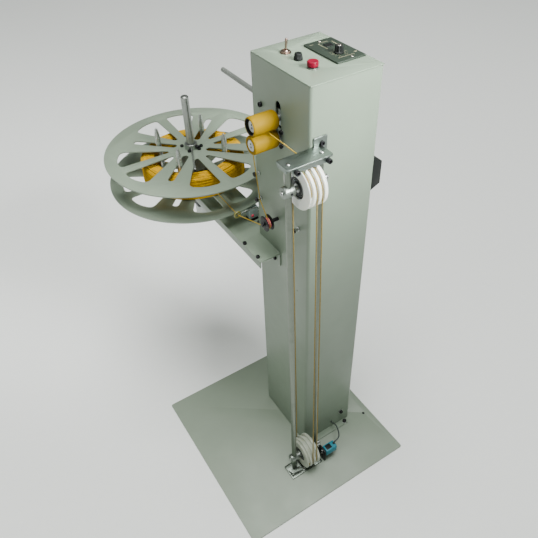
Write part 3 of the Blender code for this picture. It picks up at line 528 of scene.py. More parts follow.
# ---- fasteners ---------------------------------------------------------------------------------
def cap_screw(name, place, axis, radius=0.0045, height=0.005, mat=None, washer=0.0):
    """Cap screw with a hexagon socket, and a washer under its head if one is asked for."""
    mat = mat or OXIDE
    lift = 0.0
    pieces = []
    if washer:
        pieces.append(turned(name, [(0, 0), (washer, 0), (washer, 0.001), (0, 0.001)], CHROME,
                             place, axis, 0.0003, 40))
        lift = 0.001
    socket = radius * 0.52
    head = turned(name, [(0, lift), (radius * 0.97, lift), (radius, lift + height * 0.15),
                         (radius, lift + height * 0.85), (radius * 0.9, lift + height),
                         (socket * 1.18, lift + height), (socket, lift + height * 0.9),
                         (socket, lift + height * 0.4), (0, lift + height * 0.35)],
                  mat, place, axis, radius * 0.06, 36)
    key = extruded("key", circle(0, 0, socket * 1.16, 6), [], height * 0.75, mat, place, axis, 0)
    key.matrix_world = key.matrix_world @ Matrix.Translation((0, 0, lift + height * 0.55))
    pieces.append(boolean(head, key))
    return joined(name, pieces) if len(pieces) > 1 else pieces[0]


def cap_screws(name, spots, axis, radius, height, mat=None, finish="black_steel"):
    """Numbered cap screws of one size on the column."""
    for i, spot in enumerate(spots):
        placed(cap_screw(f"{name}_{i + 1}", spot, axis, radius, height, mat), COLUMN, finish)


def pan_screw(name, place, axis, radius=0.0035, mat=None):
    """Pan head screw with a cross recess."""
    mat = mat or CHROME
    head = turned(name, [(0, 0), (radius, 0), (radius, radius * 0.25), (radius * 0.75, radius * 0.55),
                         (radius * 0.3, radius * 0.68), (0, radius * 0.7)], mat, place, axis,
                  radius * 0.08, 40)
    for turn in (0, 90):
        half = radius * 0.1
        slot = extruded("slot", spun(rectangle(-radius * 0.5, radius * 0.5, -half, half), turn + 20), [],
                        radius, mat, place, axis, 0)
        slot.matrix_world = slot.matrix_world @ Matrix.Translation((0, 0, radius * 0.38))
        boolean(head, slot)
    return head


def fluted(name, profile, flutes, depth, mat, place, axis="Z", per=8):
    """A turned form whose outside is fluted where a profile point's third value is 1."""
    bm = bmesh.new()
    rings = []
    count = flutes * per
    for radius, height, share in profile:
        ring = []
        for i in range(count):
            angle = math.tau * i / count
            wave = 0.5 + 0.5 * math.cos(angle * flutes)
            r = radius - depth * share * (1 - wave)
            ring.append(bm.verts.new((r * math.cos(angle), r * math.sin(angle), height)))
        rings.append(ring)
    for low, high in zip(rings, rings[1:]):
        for i in range(count):
            bm.faces.new((low[i - 1], low[i], high[i], high[i - 1]))
    bm.faces.new(list(reversed(rings[0])))
    bm.faces.new(rings[-1])
    return finished(name, bm, mat, place, axis, True, 40)


# ---- stand -------------------------------------------------------------------------------------
ROLLER_LOW = middle("lower_roller_sleeve")
ROLLER_HIGH = middle("upper_roller_sleeve")
ROLLER_R = (ROLLER_HIGH.z - ROLLER_LOW.z) / 2
ROLLER_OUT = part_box("lower_roller_sleeve")[0].x
ROLLER_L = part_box("lower_roller_sleeve")[1].x - ROLLER_OUT


BASE_HOLE, FOOT_SCREW = (0.193, -0.016), (0.13, -0.009)     # places in plan
WALL_SCREW_X, WALL_SCREW_Z = 0.12, 0.05


def base_plate():
    low, high = base_low, base_high
    hole = circle(*at(*BASE_HOLE, 0).xy, 0.003)
    plate = extruded("base_sheet", rectangle(low.x, high.x, low.y, high.y, 0.004), [hole],
                     high.z - low.z, BASE_PAINT, (0, 0, 0), "Z", 0.0007)
    placed(plate, COLUMN, "painted_sheet", "base_plate")
    # A thin black cap screw head, sunk half into the plate over its hole, paints the hole dark: painted
    # shade.
    placed(cap_screw("base_hole_shade", at(*BASE_HOLE, -0.0006), "Z", 0.0037, 0.0012), COLUMN, "black_steel")


def column_wrap():
    """Left, front and right walls in one bent sheet, with the cut-outs and the foot strip."""
    low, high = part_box("column_shell")
    bend, lip, steps = 0.006, 0.014, 14
    w, d = COLUMN_W, high.y - panel_low.y
    outside = ([(lip, d), (0, d)] + arc(bend, bend, bend, 180, 270, steps)
               + arc(w - bend, bend, bend, 270, 360, steps) + [(w, d), (w - lip, d)])
    inside = ([(w - lip, d - SHEET), (w - SHEET, d - SHEET)]
              + arc(w - bend, bend, bend - SHEET, 360, 270, steps)
              + arc(bend, bend, bend - SHEET, 270, 180, steps)
              + [(SHEET, d - SHEET), (lip, d - SHEET)])
    wrap = extruded("column_wrap", outside + inside, [], high.z - low.z, PAINT,
                    (CORNER.x, CORNER.y, low.z), "Z", 0)
    slot_low, slot_high = ROLLER_LOW.z - 0.015, ROLLER_HIGH.z + 0.031
    slot = extruded("slot", stadium(slot_low, slot_high, 0.008), [], 0.02, OXIDE, (0, 0, 0), "Z", 0)
    slot.matrix_world = (Matrix.Translation((CORNER.x + 0.01, ROLLER_LOW.y, 0))
                         @ Matrix.Rotation(math.radians(-90), 4, "Y"))
    boolean(wrap, slot)
    bored(wrap, 0.004, at(0.0895, -0.01, 0.024), 0.02, "Y")
    bored(wrap, 0.006, at(WALL_SCREW_X, -0.01, WALL_SCREW_Z), 0.02, "Y", 6)
    bored(wrap, 0.002, at(-0.01, 0.037, 0.552), 0.02, "X")
    foot = block("foot", at(0.012, -0.016, 0.0003), at(0.138, 0.001, 0.003), PAINT, 0.0006)
    bored(foot, 0.0032, at(*FOOT_SCREW, -0.005), 0.02, "Z")
    placed(joined("column_wrap", [wrap, foot]), COLUMN, "painted_sheet", "column_shell")
    foot_screw = cap_screw("foot_screw", at(*FOOT_SCREW, 0.003), "Z", 0.0052, 0.0052, washer=0.0062)
    placed(foot_screw, COLUMN, "black_steel")
    wall_screw = cap_screw("front_wall_screw", at(WALL_SCREW_X, 0, WALL_SCREW_Z), "-Y", 0.005, 0.005,
                           washer=0.0082)
    placed(wall_screw, COLUMN, "black_steel")


def top_sheet():
    holes = [circle(CONTROL_X, TOGGLE_Y, 0.0063), circle(CONTROL_X, FUSE_Y, 0.0063),
             circle(CONTROL_X, BUTTON_Y, 0.0083), rectangle(0.0895, 0.1405, 0.045, 0.139)]
    sheet = extruded("top_sheet", rectangle(0, COLUMN_W, 0, COLUMN_D, 0.0015), holes, SHEET, PAINT,
                     at(0, 0, COLUMN_H - SHEET), "Z", 0.0006)
    inset, wall, back = 0.003, 0.0012, COLUMN_D - 0.0058
    skirt = extruded("skirt", rectangle(inset, COLUMN_W - inset, inset, back, 0.005),
                     [rectangle(inset + wall, COLUMN_W - inset - wall, inset + wall, back - wall, 0.004)],
                     0.0118, PAINT, at(0, 0, COLUMN_H - SHEET - 0.012), "Z", 0)
    placed(joined("top_sheet", [sheet, skirt]), COLUMN, "painted_sheet", "top_panel")


def rear_cover():
    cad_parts["rear_cover"].material_slots[0].material = PAINT
    low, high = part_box("rear_cover")
    for side, x in (("left", low.x + 0.008), ("right", high.x - 0.008)):
        for i, share in enumerate((0.03, 0.35, 0.66, 0.97)):
            z = low.z + (high.z - low.z) * share
            placed(pan_screw(f"rear_cover_screw_{side}_{i + 1}", (x, high.y, z), "Y", 0.0035), COLUMN,
                   "bright_steel")


def mains_inlet():
    """Chamfered inlet housing with its socket, rocker switch, flange and two screws."""
    low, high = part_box("mains_inlet_box")
    cut, depth = 0.012, high.x - low.x
    side = [(0, 0), (depth, cut), (depth, high.z - low.z - cut), (0, high.z - low.z)]
    body = extruded("mains_inlet", side, [], high.y - low.y, BLACK, (0, 0, 0), "Z", 0.0015, 3)
    body.matrix_world = Matrix(((1, 0, 0, low.x), (0, 0, 1, low.y), (0, 1, 0, low.z), (0, 0, 0, 1)))
    centre = (low.y + high.y) / 2
    socket = block("socket", (low.x + 0.012, centre - 0.012, low.z + 0.013),
                   (high.x + 0.01, centre + 0.012, low.z + 0.0335), BLACK, 0.003)
    boolean(body, socket)
    pieces = [body]
    for dy, dz in ((-0.006, 0.02), (0.006, 0.02), (0.0, 0.026)):
        pieces.append(block("pin", (low.x + 0.012, centre + dy - 0.001, low.z + dz - 0.002),
                            (low.x + 0.023, centre + dy + 0.001, low.z + dz + 0.002), NICKEL, 0.0004))
    rocker = block("rocker", (high.x - 0.003, centre - 0.007, low.z + 0.042),
                   (high.x + 0.0016, centre + 0.007, low.z + 0.058), BLACK, 0.0012)
    placed(joined("mains_inlet", pieces + [rocker]), COLUMN, "black_plastic", "mains_inlet_box")


def rear_rod():
    low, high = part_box("rear_rod")
    r = (high.x - low.x) / 2
    rod = turned("rear_rod_bar", [(0, 0), (r - 0.0008, 0), (r, 0.0008), (r, high.y - low.y - 0.001),
                                  (r - 0.001, high.y - low.y), (0, high.y - low.y)], DRAWN_ROD,
                 (low.x + r, low.y, low.z + r), "Y", 0.0004)
    placed(rod, COLUMN, "bright_steel", "rear_rod")


# ---- controls on top ---------------------------------------------------------------------------
TOGGLE_TILT = 8
CONTROL_X, TOGGLE_Y, FUSE_Y, BUTTON_Y = 0.0445, 0.138, 0.099, 0.057


def toggle_switch():
    place = at(CONTROL_X, TOGGLE_Y, COLUMN_H)
    nut = extruded("toggle_nut", circle(0, 0, 0.009, 6), [circle(0, 0, 0.0056)], 0.0022, TOGGLE_METAL,
                   place + Vector((0, 0, 0.0012)), "Z", 0.0005)
    washer = turned("washer", [(0.006, 0.0003), (0.0104, 0.0003), (0.0104, 0.0012), (0.006, 0.0012)],
                    TOGGLE_METAL, place, "Z", 0.0003)
    thread = [(0.003, -0.004), (0.0058, -0.004)]
    for i in range(8):
        thread += [(0.0058, -0.002 + i * 0.0008), (0.0055, -0.0016 + i * 0.0008)]
    thread += [(0.005, 0.0052), (0.0038, 0.0052), (0.0033, 0.003)]
    bush = turned("bush", thread, TOGGLE_METAL, place, "Z", 0.0001)
    body = block("body", place + Vector((-0.0065, -0.01, -0.027)), place + Vector((0.0065, 0.01, -0.0035)),
                 BLACK)
    placed(joined("toggle_nut", [nut, washer, bush, body]), COLUMN, "bright_steel", "toggle_bushing")
    lever = turned("toggle_bat", [(0, 0.0), (0.0012, 0.0004), (0.002, 0.0025), (0.0021, 0.012),
                                  (0.0026, 0.022), (0.0026, 0.0238), (0.0022, 0.0253),
                                  (0.0012, 0.0261), (0, 0.0262)], TOGGLE_METAL, place, "Z", 0.0008, 48)
    lever.matrix_world = Matrix.Translation(place) @ Matrix.Rotation(math.radians(TOGGLE_TILT), 4, "X")
    placed(lever, "toggle_lever", "bright_steel", "toggle_lever")


def fuse_holder():
    place = at(CONTROL_X, FUSE_Y, COLUMN_H)
    body = turned("fuse_ring", [(0.0045, -0.03), (0.006, -0.03), (0.006, 0.0003), (0.0078, 0.0003),
                                (0.0078, 0.0016), (0.0045, 0.0016)], BLACK, place, "Z", 0.0003)
    placed(body, COLUMN, "black_plastic", "fuse_holder_body")
    cap = fluted("fuse_knob", [(0.004, -0.006, 0), (0.004, 0.0019, 0), (0.007, 0.0019, 0),
                               (0.0077, 0.0024, 0), (0.0077, 0.0034, 0), (0.0075, 0.004, 1),
                               (0.0067, 0.009, 1), (0.0062, 0.0108, 1), (0.0056, 0.0116, 0.4),
                               (0.0044, 0.012, 0), (0.0022, 0.0118, 0)], 18, 0.0006, BLACK, place)
    placed(cap, "fuse_cap", "black_plastic", "fuse_cap")


def push_button():
    place = at(CONTROL_X, BUTTON_Y, COLUMN_H)
    ring = turned("button_ring", [(0.0062, -0.022), (0.008, -0.022), (0.008, 0.0003), (0.0098, 0.0003),
                                  (0.0098, 0.0016), (0.0074, 0.0022), (0.0062, 0.0016)], ZINC_TURNED,
                  place, "Z", 0.0003)
    placed(ring, COLUMN, "zinc_plate", "button_bushing")
    cap = turned("button_cap", [(0, -0.014), (0.0058, -0.014), (0.0058, 0.0038), (0.0094, 0.0038),
                                (0.0098, 0.0044), (0.0098, 0.0106, 0.0008), (0.009, 0.0119, 0.0006),
                                (0.0078, 0.012), (0.0045, 0.0114, 0.002), (0, 0.0113)],
                 RED, place, "Z", 0.0006)
    placed(cap, "red_button", "red_plastic", "red_button")


PANEL_Z = COLUMN_H + 0.0033
KNOB = (0.112, 0.075)
ROCKER = (0.119, 0.113)


def dial_marks():
    """Ticks and the numbers 0 to 10 round the knob, and a printed frame round the rocker."""
    pieces = []
    height = 0.00012
    for i in range(31):
        angle = 240 - i * 10
        long = i % 3 == 0
        inner, outer = 0.01, 0.0122 if long else 0.0112
        half = 0.00022 if long else 0.00013
        tick = extruded("tick", spun(rectangle(inner, outer, -half, half), angle), [], height,
                        PANEL_MARK, at(*KNOB, PANEL_Z), "Z", 0)
        pieces.append(tick)
        if not long:
            continue
        curve = bpy.data.curves.new("number", "FONT")
        curve.body = str(i // 3)
        curve.size = 0.0036
        curve.extrude = height / 2
        curve.resolution_u = 2
        curve.align_x, curve.align_y = "CENTER", "CENTER"
        text = bpy.data.objects.new("number", curve)
        bpy.context.scene.collection.objects.link(text)
        x, y = polar(0.0146, angle)
        text.location = at(KNOB[0] + x, KNOB[1] + y, PANEL_Z + height / 2)
        bpy.context.view_layer.update()
        mesh = bpy.data.meshes.new_from_object(text)
        solid = bpy.data.objects.new("number", mesh)
        solid.matrix_world = text.matrix_world
        bpy.context.scene.collection.objects.link(solid)
        bpy.data.objects.remove(text)
        mesh.materials.clear()
        mesh.materials.append(PANEL_MARK)
        pieces.append(solid)
    bars = ((0.1056, 0.1072, 0.099, 0.127), (0.133, 0.1346, 0.101, 0.125), (0.097, 0.132, 0.0572, 0.058),
            (0.11, 0.128, 0.1288, 0.1296), (0.09, 0.098, 0.13, 0.1308), (0.136, 0.141, 0.062, 0.065))
    for x0, x1, y0, y1 in bars:
        pieces.append(extruded("bar", rectangle(x0, x1, y0, y1), [], height, PANEL_MARK, at(0, 0, PANEL_Z),
                               "Z", 0))
    return placed(joined("dial_marks", pieces), COLUMN, "panel_green")


def speed_controller():
    low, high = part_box("speed_controller")
    thick = 0.003
    rocker_hole = rectangle(ROCKER[0] - 0.0085, ROCKER[0] + 0.0085, ROCKER[1] - 0.0065, ROCKER[1] + 0.0065)
    x0, x1 = low.x - CORNER.x, high.x - CORNER.x
    y0, y1 = low.y - CORNER.y, high.y - CORNER.y
    plate = extruded("controller_plate", rectangle(x0, x1, y0, y1, 0.002),
                     [rocker_hole, circle(*KNOB, 0.0035)], thick, PANEL, at(0, 0, PANEL_Z - thick),
                     "Z", 0.0006)
    inner = 0.0035
    can = extruded("can", rectangle(x0 + inner, x1 - inner, y0 + inner, y1 - inner), [rocker_hole],
                   PANEL_Z - thick - 0.0001 - (low.z - CORNER.z), BLACK, at(0, 0, low.z - CORNER.z), "Z", 0)
    placed(joined("controller_plate", [plate, can]), COLUMN, "panel_green", "speed_controller")
    dial_marks()
    for i, (x, y) in enumerate(((0.12, 0.05), (0.115, 0.1355))):
        screw = pan_screw(f"panel_screw_{i + 1}", at(x, y, PANEL_Z), "Z", 0.0026, NICKEL)
        placed(screw, COLUMN, "bright_steel")


def speed_knob():
    place = at(*KNOB, PANEL_Z + 0.0003)
    knob = fluted("knob", [(0.003, -0.009, 0), (0.003, 0.0, 0), (0.0085, 0.0, 0), (0.0088, 0.0005, 0),
                           (0.0087, 0.0018, 0), (0.0074, 0.0026, 0), (0.0075, 0.0036, 1),
                           (0.0072, 0.0118, 1), (0.0068, 0.013, 1), (0.006, 0.0134, 0.5),
                           (0.005, 0.0134, 0)], 8, 0.0012, BLACK, place)
    cap = turned("cap", [(0, 0.013), (0.0048, 0.013), (0.0048, 0.0136), (0.0044, 0.0139), (0, 0.014)],
                 NICKEL, place, "Z", 0.0002, 40)
    pointer = block("pointer", place + Vector((-0.0003, 0.005, 0.0131)),
                    place + Vector((0.0003, 0.0067, 0.0136)), PANEL_MARK, 0.0001, 1)
    placed(joined("knob", [knob, cap, pointer]), "speed_knob", "black_plastic", "speed_knob")
    outline = [(-0.0056, 0.0005), (-0.004, -0.0052), (0.004, -0.0052), (0.0056, 0.0005),
               (0.0056, 0.0042), (0.0, 0.0024), (-0.0056, 0.003)]
    half = 0.008
    rocker = extruded("rocker_button", outline, [], 2 * half, BLACK, (0, 0, 0), "Z", 0.0005, 3)
    pivot = at(*ROCKER, COLUMN_H + 0.001)
    rocker.matrix_world = Matrix(((0, 0, 1, pivot.x - half), (1, 0, 0, pivot.y), (0, 1, 0, pivot.z),
                                  (0, 0, 0, 1)))
    placed(rocker, "run_rocker", "black_plastic", "run_rocker")


# ---- feed rollers ------------------------------------------------------------------------------
def feed_rollers():
    for kind, centre in (("lower", ROLLER_LOW), ("upper", ROLLER_HIGH)):
        place = (ROLLER_OUT, centre.y, centre.z)
        r = ROLLER_R - 0.00015
        face = 0.0045 if kind == "upper" else 0.0005
        inner_r = 0.0152 if kind == "upper" else 0.0116
        sleeve = turned(f"{kind}_cover", [(inner_r, 0), (r - 0.0018, 0, 0.001), (r, 0.0022, 0.003),
                                          (r, ROLLER_L - 0.0035, 0.004), (r - 0.0028, ROLLER_L, 0.002),
                                          (0.0116, ROLLER_L), (0.0116, face), (inner_r, face)],
                        AMBER, place, "X", 0.0008, RING, 5)
        placed(sleeve, f"{kind}_roller", "amber_polyurethane", f"{kind}_roller_sleeve")
        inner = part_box(f"{kind}_roller_core")[1].x - ROLLER_OUT
        core = turned(f"{kind}_core", [(0, face + 0.0006), (0.005, face + 0.0006), (0.0056, face),
                                       (0.0098, face), (0.0112, face + 0.001), (0.0112, ROLLER_L - 0.0002),
                                       (0.006, ROLLER_L), (0.006, inner - 0.0006), (0.0054, inner),
                                       (0, inner)], CORE_METAL, place, "X", 0.0003)
        pieces = [core]
        # Two thin black discs on the end face stand in for pin holes: painted shade of the holes.
        for angle in (80, 260):
            y, z = polar(0.003, angle)
            spot = (ROLLER_OUT + face + 0.0007, centre.y + y, centre.z + z)
            pieces.append(turned("pin_hole_shade", [(0, 0), (0.0019, 0), (0.0019, 0.0004), (0, 0.0004)], OXIDE,
                                 spot, "-X", 0, 24))
        if kind == "upper":
            pieces.append(turned("lining", [(0.0142, 0.0006), (0.0151, 0.0006), (0.0151, face + 0.0004),
                                            (0.0113, face + 0.0004), (0.0113, face), (0.0142, face)], BLACK,
                                 place, "X", 0.0002))
        placed(joined(f"{kind}_core", pieces), f"{kind}_roller", "bright_steel", f"{kind}_roller_core")
    for node, mat in (("roller_frame", ZINC), ("upper_roller_carriage", ZINC), ("feed_gearmotor", CASTING)):
        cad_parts[node].material_slots[0].material = mat
    spots = ((0.1537, 0.933, 0.005, 0.0), (0.084, 0.907, 0.0042, 0.0052), (0.084, 0.879, 0.0042, 0.0052))
    for i, (y, z, radius, washer) in enumerate(spots):
        screw = cap_screw(f"roller_frame_screw_{i + 1}", at(-0.0001, y, z), "-X", radius, radius,
                          washer=washer)
        placed(screw, COLUMN, "black_steel")


# ---- reel --------------------------------------------------------------------------------------
REEL_LOW, REEL_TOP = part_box("upper_reel_flange")
REEL = middle("upper_reel_flange")
REEL_R = (REEL_TOP.x - REEL_LOW.x) / 2
FLANGE_T = REEL_TOP.z - REEL_LOW.z
LOWER_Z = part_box("lower_reel_flange")[0].z
REEL_AXIS = (REEL.x, REEL.y, 0)
SLOT_INNER, SLOT_OUTER, SLOT_HALF = 0.037, 0.145, 0.0075


def flange_windows():
    holes = []
    for spoke in range(0, 360, 90):
        for side in (-1, 1):
            corners = [(*polar(0.054, spoke + side * 10), 0.003), (*polar(0.174, spoke + side * 4.2), 0.012),
                       (*polar(0.176, spoke + side * 16), 0.03), (*polar(0.168, spoke + side * 28.5), 0.016),
                       (*polar(0.056, spoke + side * 18), 0.003)]
            holes.append(eased(corners, 0.01, 8, True))
        holes.append(spun(stadium(SLOT_INNER, SLOT_OUTER, SLOT_HALF), spoke + 45))
    return holes


def flange(name, z, bore, body, node):
    disc = extruded(name, circle(0, 0, REEL_R, 200), flange_windows() + [circle(0, 0, bore, 48)],
                    FLANGE_T, REEL_PAINT, (REEL.x, REEL.y, z), "Z", 0.0005)
    placed(disc, body, "reel_enamel", node)


def spindle():
    low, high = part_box("spindle")
    r, hub_r = 0.009, 0.03
    hub = LOWER_Z - 0.0003
    bar = turned("spindle_bar", [(0, low.z), (r - 0.0006, low.z), (r, low.z + 0.0006), (r, hub - 0.008),
                                 (hub_r, hub - 0.008), (hub_r, hub), (r, hub), (r, high.z - 0.0022),
                                 (r - 0.0022, high.z), (0, high.z)], SPINDLE_STEEL,
                 REEL_AXIS, "Z", 0.0004)
    placed(bar, "reel", "bright_steel", "spindle")


HUB_SCREWS = ((-0.0165, 0.0165), (-0.0129, -0.0155), (0.0115, -0.019), (0.0215, -0.009), (0.004, 0.022))
CLAMP_HEADING = -60
LEVER_HEADING, LEVER_LENGTH = -112.0, 0.098


def level_heading(degrees):
    """Turns local +Z to lie level, pointing at a heading round the reel."""
    return Matrix.Rotation(math.radians(degrees), 4, "Z") @ Matrix.Rotation(math.radians(90), 4, "Y")


def hub_collar():
    """Clamp collar with its lever above the flange, ribbed core below, and black socket screws."""
    low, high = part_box("upper_flange_collar")
    top = REEL_TOP.z
    core_r = (high.x - low.x) / 2
    under = REEL_LOW.z - 0.0003
    core = fluted("hub_core", [(core_r - 0.003, low.z, 0), (core_r - 0.001, low.z + 0.0005, 0),
                               (core_r, low.z + 0.002, 1), (core_r, under - 0.002, 1),
                               (core_r - 0.0005, under, 0), (0.0116, under, 0)],
                  64, 0.0016, CORE_DARK, REEL_AXIS, "Z", 6)
    tube = turned("collar_tube", [(0.0093, low.z + 0.001), (0.0114, low.z + 0.001), (0.0114, top + 0.0003),
                                  (0.015, top + 0.0003), (0.015, high.z - 0.0008), (0.0142, high.z),
                                  (0.0093, high.z)], SPINDLE_STEEL, REEL_AXIS, "Z", 0.0004)
    placed(joined("hub_core", [core, tube]), "lift_off_flange", "black_steel", "upper_flange_collar")
    for i, (x, y) in enumerate(HUB_SCREWS):
        screw = cap_screw(f"hub_screw_{i + 1}", (REEL.x + x, REEL.y + y, top), "Z", 0.0042, 0.0044)
        placed(screw, "lift_off_flange", "black_steel")
    x, y = polar(0.015, CLAMP_HEADING)
    clamp = cap_screw("collar_clamp_screw", (REEL.x + x, REEL.y + y, top + 0.0064),
                      level_heading(CLAMP_HEADING), 0.004, 0.0065)
    placed(clamp, "lift_off_flange", "black_steel")
    length = LEVER_LENGTH
    heading = level_heading(LEVER_HEADING)
    x, y = polar(0.014, LEVER_HEADING)
    lever = turned("collar_lever", [(0, 0), (0.0018, 0), (0.0018, length - 0.016), (0.0028, length - 0.015),
                                    (0.0032, length - 0.001), (0.0026, length), (0, length)], ALUMINIUM,
                   (REEL.x + x, REEL.y + y, top + 0.007), heading, 0.0005, 40)
    tip = turned("tip", [(0, length), (0.0026, length), (0.0026, length + 0.0016), (0, length + 0.0018)],
                 OXIDE, (REEL.x + x, REEL.y + y, top + 0.007), heading, 0.0003, 32)
    placed(joined("collar_lever", [lever, tip]), "lift_off_flange", "bright_steel")


def pegs():
    for i in range(4):
        node = f"reel_peg_{i + 1}"
        low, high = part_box(node)
        centre = (low + high) / 2
        foot = LOWER_Z + FLANGE_T + 0.0003
        under, r = LOWER_Z - 0.0003, 0.0065
        peg = turned(f"peg_{i + 1}_bullet", [(0, under - 0.0069), (0.0048, under - 0.0069),
                                             (0.0048, under - 0.0055), (0.008, under - 0.0052),
                                             (0.008, under), (0.0055, under), (0.0055, foot), (0.009, foot),
                                             (0.009, foot + 0.004), (r, foot + 0.0055),
                                             (r, high.z - 0.026, 0.004), (0.0052, high.z - 0.013, 0.005),
                                             (0.0032, high.z - 0.003, 0.003),
                                             (0.0016, high.z - 0.0005, 0.001), (0, high.z)],
                     ALUMINIUM, (centre.x, centre.y, 0), "Z", 0.0004, 64, 5)
        placed(peg, f"peg_{i + 1}", "bright_steel", node)


def coil():
    """Turns of yarn laid in layers: the outer turns are modelled one by one over a solid core."""
    low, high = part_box("yarn_coil")
    outer = (high.x - low.x) / 2
    inner, r = 0.0892, 0.0012
    bm = bmesh.new()
    pitch = 2 * r * 0.93

    def turn(radius, z, steps=150, sides=7):
        phase, wave = random.uniform(0, math.tau), random.randint(2, 5)
        sway, lift = random.uniform(0.0001, 0.0008), random.uniform(0.0002, 0.0011)
        rings = []
        for i in range(steps):
            a = math.tau * i / steps
            rr = radius + sway * math.cos(a * wave + phase) + random.uniform(-0.00008, 0.00008)
            zz = z + lift * math.sin(a * (wave + 1) + phase)
            ring = []
            for k in range(sides):
                b = math.tau * k / sides + a * 9
                x = rr + r * math.cos(b)
                ring.append(bm.verts.new((x * math.cos(a), x * math.sin(a), zz + r * math.sin(b))))
            rings.append(ring)
        for i in range(steps):
            one, two = rings[i - 1], rings[i]
            for k in range(sides):
                bm.faces.new((one[k - 1], one[k], two[k], two[k - 1]))

    def crown(radius):
        """Height of the coil's top at a radius: full in the middle, lower at both edges."""
        share = (radius - inner) / (outer - inner)
        return high.z - 0.0035 - 0.011 * max(0.0, share - 0.55) ** 1.5 * 2.2 - 0.005 * max(0.0, 0.25 - share)
    z = low.z + 0.0022
    while z < crown(outer) - pitch:
        turn(outer - r - 0.0013 - random.uniform(0, 0.0008), z)
        turn(inner + r + 0.0012 + random.uniform(0, 0.0008) + 0.004 * max(0, 1 - (z - low.z) / 0.01), z)
        z += pitch
    radius = inner + r + 0.0012
    while radius < outer - r:
        turn(radius, crown(radius) + random.uniform(-0.0006, 0.0004))
        turn(radius - pitch / 2, crown(radius) - 1.6 * r)
        radius += pitch
    windings = finished("coil_windings", bm, COIL_YARN, REEL_AXIS, "Z", True, 80)
    pad = 0.0034
    core = turned("core", [(inner + pad + 0.004, low.z + 0.0006), (outer - pad, low.z + 0.0006),
                           (outer - pad, crown(outer) - 0.002), (outer - 0.012, crown(outer - 0.012) - pad),
                           (inner + 0.008, crown(inner + 0.008) - pad), (inner + pad, crown(inner) - pad),
                           (inner + pad, low.z + 0.01)], COIL_YARN, REEL_AXIS, "Z", 0.001)
    placed(joined("coil_windings", [core, windings]), "reel", "yellow_yarn", "yarn_coil")


def reel_arm():
    low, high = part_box("reel_arm")
    top = high.z
    thick, behind = 0.003, COLUMN_D + 0.0003
    x0, x1 = low.x - CORNER.x, high.x - CORNER.x
    y0, y1 = low.y - CORNER.y, high.y - CORNER.y
    z = top - CORNER.z
    plan = [(x0, y0, 0.004), (-0.0003, y0, 0), (-0.0003, behind, 0), (x1, behind, 0), (x1, y1 - 0.03, 0.01),
            (x1 - 0.03, y1, 0.01), (x0, y1, 0.01)]
    plate = extruded("arm_plate", eased(plan, 0.01, 6, True),
                     [circle(REEL.x - CORNER.x, REEL.y - CORNER.y, 0.0135)], thick, PAINT,
                     at(0, 0, z - thick), "Z", 0.0008, 3)
    pieces = [plate,
              block("outer_lip", at(x0 + 0.0001, y0 + 0.002, z - 0.02), at(x0 + thick, y1 - 0.012, z - 0.001),
                    PAINT, 0.0008),
              block("wall_lip", at(-0.0033, y0 + 0.001, z - 0.036), at(-0.0003, behind, z - 0.001),
                    PAINT, 0.0006),
              block("rear_lip", at(-0.002, behind, z - 0.036), at(x1 - 0.001, behind + thick, z - 0.001),
                    PAINT, 0.0006)]
    placed(joined("arm_plate", pieces), COLUMN, "painted_sheet", "reel_arm")
    cap_screws("arm_edge_screw", [at(x0 + 0.0035, y, z) for y in (0.168, 0.113)], "Z", 0.0045, 0.0052)
    cap_screws("arm_wall_screw", [at(-0.0033, y, z - 0.024) for y in (0.115, 0.165)], "-X", 0.0045, 0.0045)
    cap_screws("arm_rear_screw", [at(x, behind + thick, z - 0.024) for x in (0.01, 0.034)],
               "Y", 0.0045, 0.0045)


def reel_drive():
    low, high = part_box("spindle_housing")
    arm_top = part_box("reel_arm")[1].z
    rise = high.z - arm_top
    housing = turned("housing", [(0.0093, low.z - arm_top), (0.013, low.z - arm_top), (0.013, 0.0003),
                                 (0.02, 0.0003), (0.02, 0.005), (0.0155, 0.007, 0.002),
                                 (0.015, rise - 0.001), (0.014, rise), (0.0093, rise)],
                     ZINC_TURNED, (REEL.x, REEL.y, arm_top))
    placed(housing, COLUMN, "zinc_plate", "spindle_housing")
    ring = [polar(0.0176, 45 + 90 * i) for i in range(4)]
    cap_screws("housing_screw", [(REEL.x + x, REEL.y + y, arm_top + 0.005) for x, y in ring],
               "Z", 0.0019, 0.002)
    low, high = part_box("reel_motor")
    gearbox_top = high.z - 0.0132
    half = 0.03
    gearbox = block("reel_gearbox", (low.x, REEL.y - half, gearbox_top - 0.028),
                    (high.x, REEL.y + half, gearbox_top), CASTING, 0.003)
    can_x = (low.x + high.x) / 2
    can = turned("can", [(0, low.z), (0.026, low.z), (0.028, low.z + 0.002), (0.028, gearbox_top - 0.0275),
                         (0, gearbox_top - 0.0275)], SPINDLE_STEEL, (can_x, REEL.y, 0), "Z", 0.0008)
    cap = turned("cap", [(0, low.z), (0.0285, low.z + 0.0015), (0.0285, low.z + 0.012),
                         (0.0275, low.z + 0.013), (0, low.z + 0.013)], BLACK, (can_x, REEL.y, 0), "Z", 0.0006)
    foot = block("foot", (low.x, REEL.y + 0.02, gearbox_top - 0.004),
                 (high.x, REEL.y + half, high.z), CASTING, 0.001)
    motor = joined("reel_gearbox", [gearbox, can, cap, foot])
    placed(motor, COLUMN, "black_steel", "reel_motor")


# ---- yarn guides on the left wall --------------------------------------------------------------
GUIDE = middle("guide_pulley")


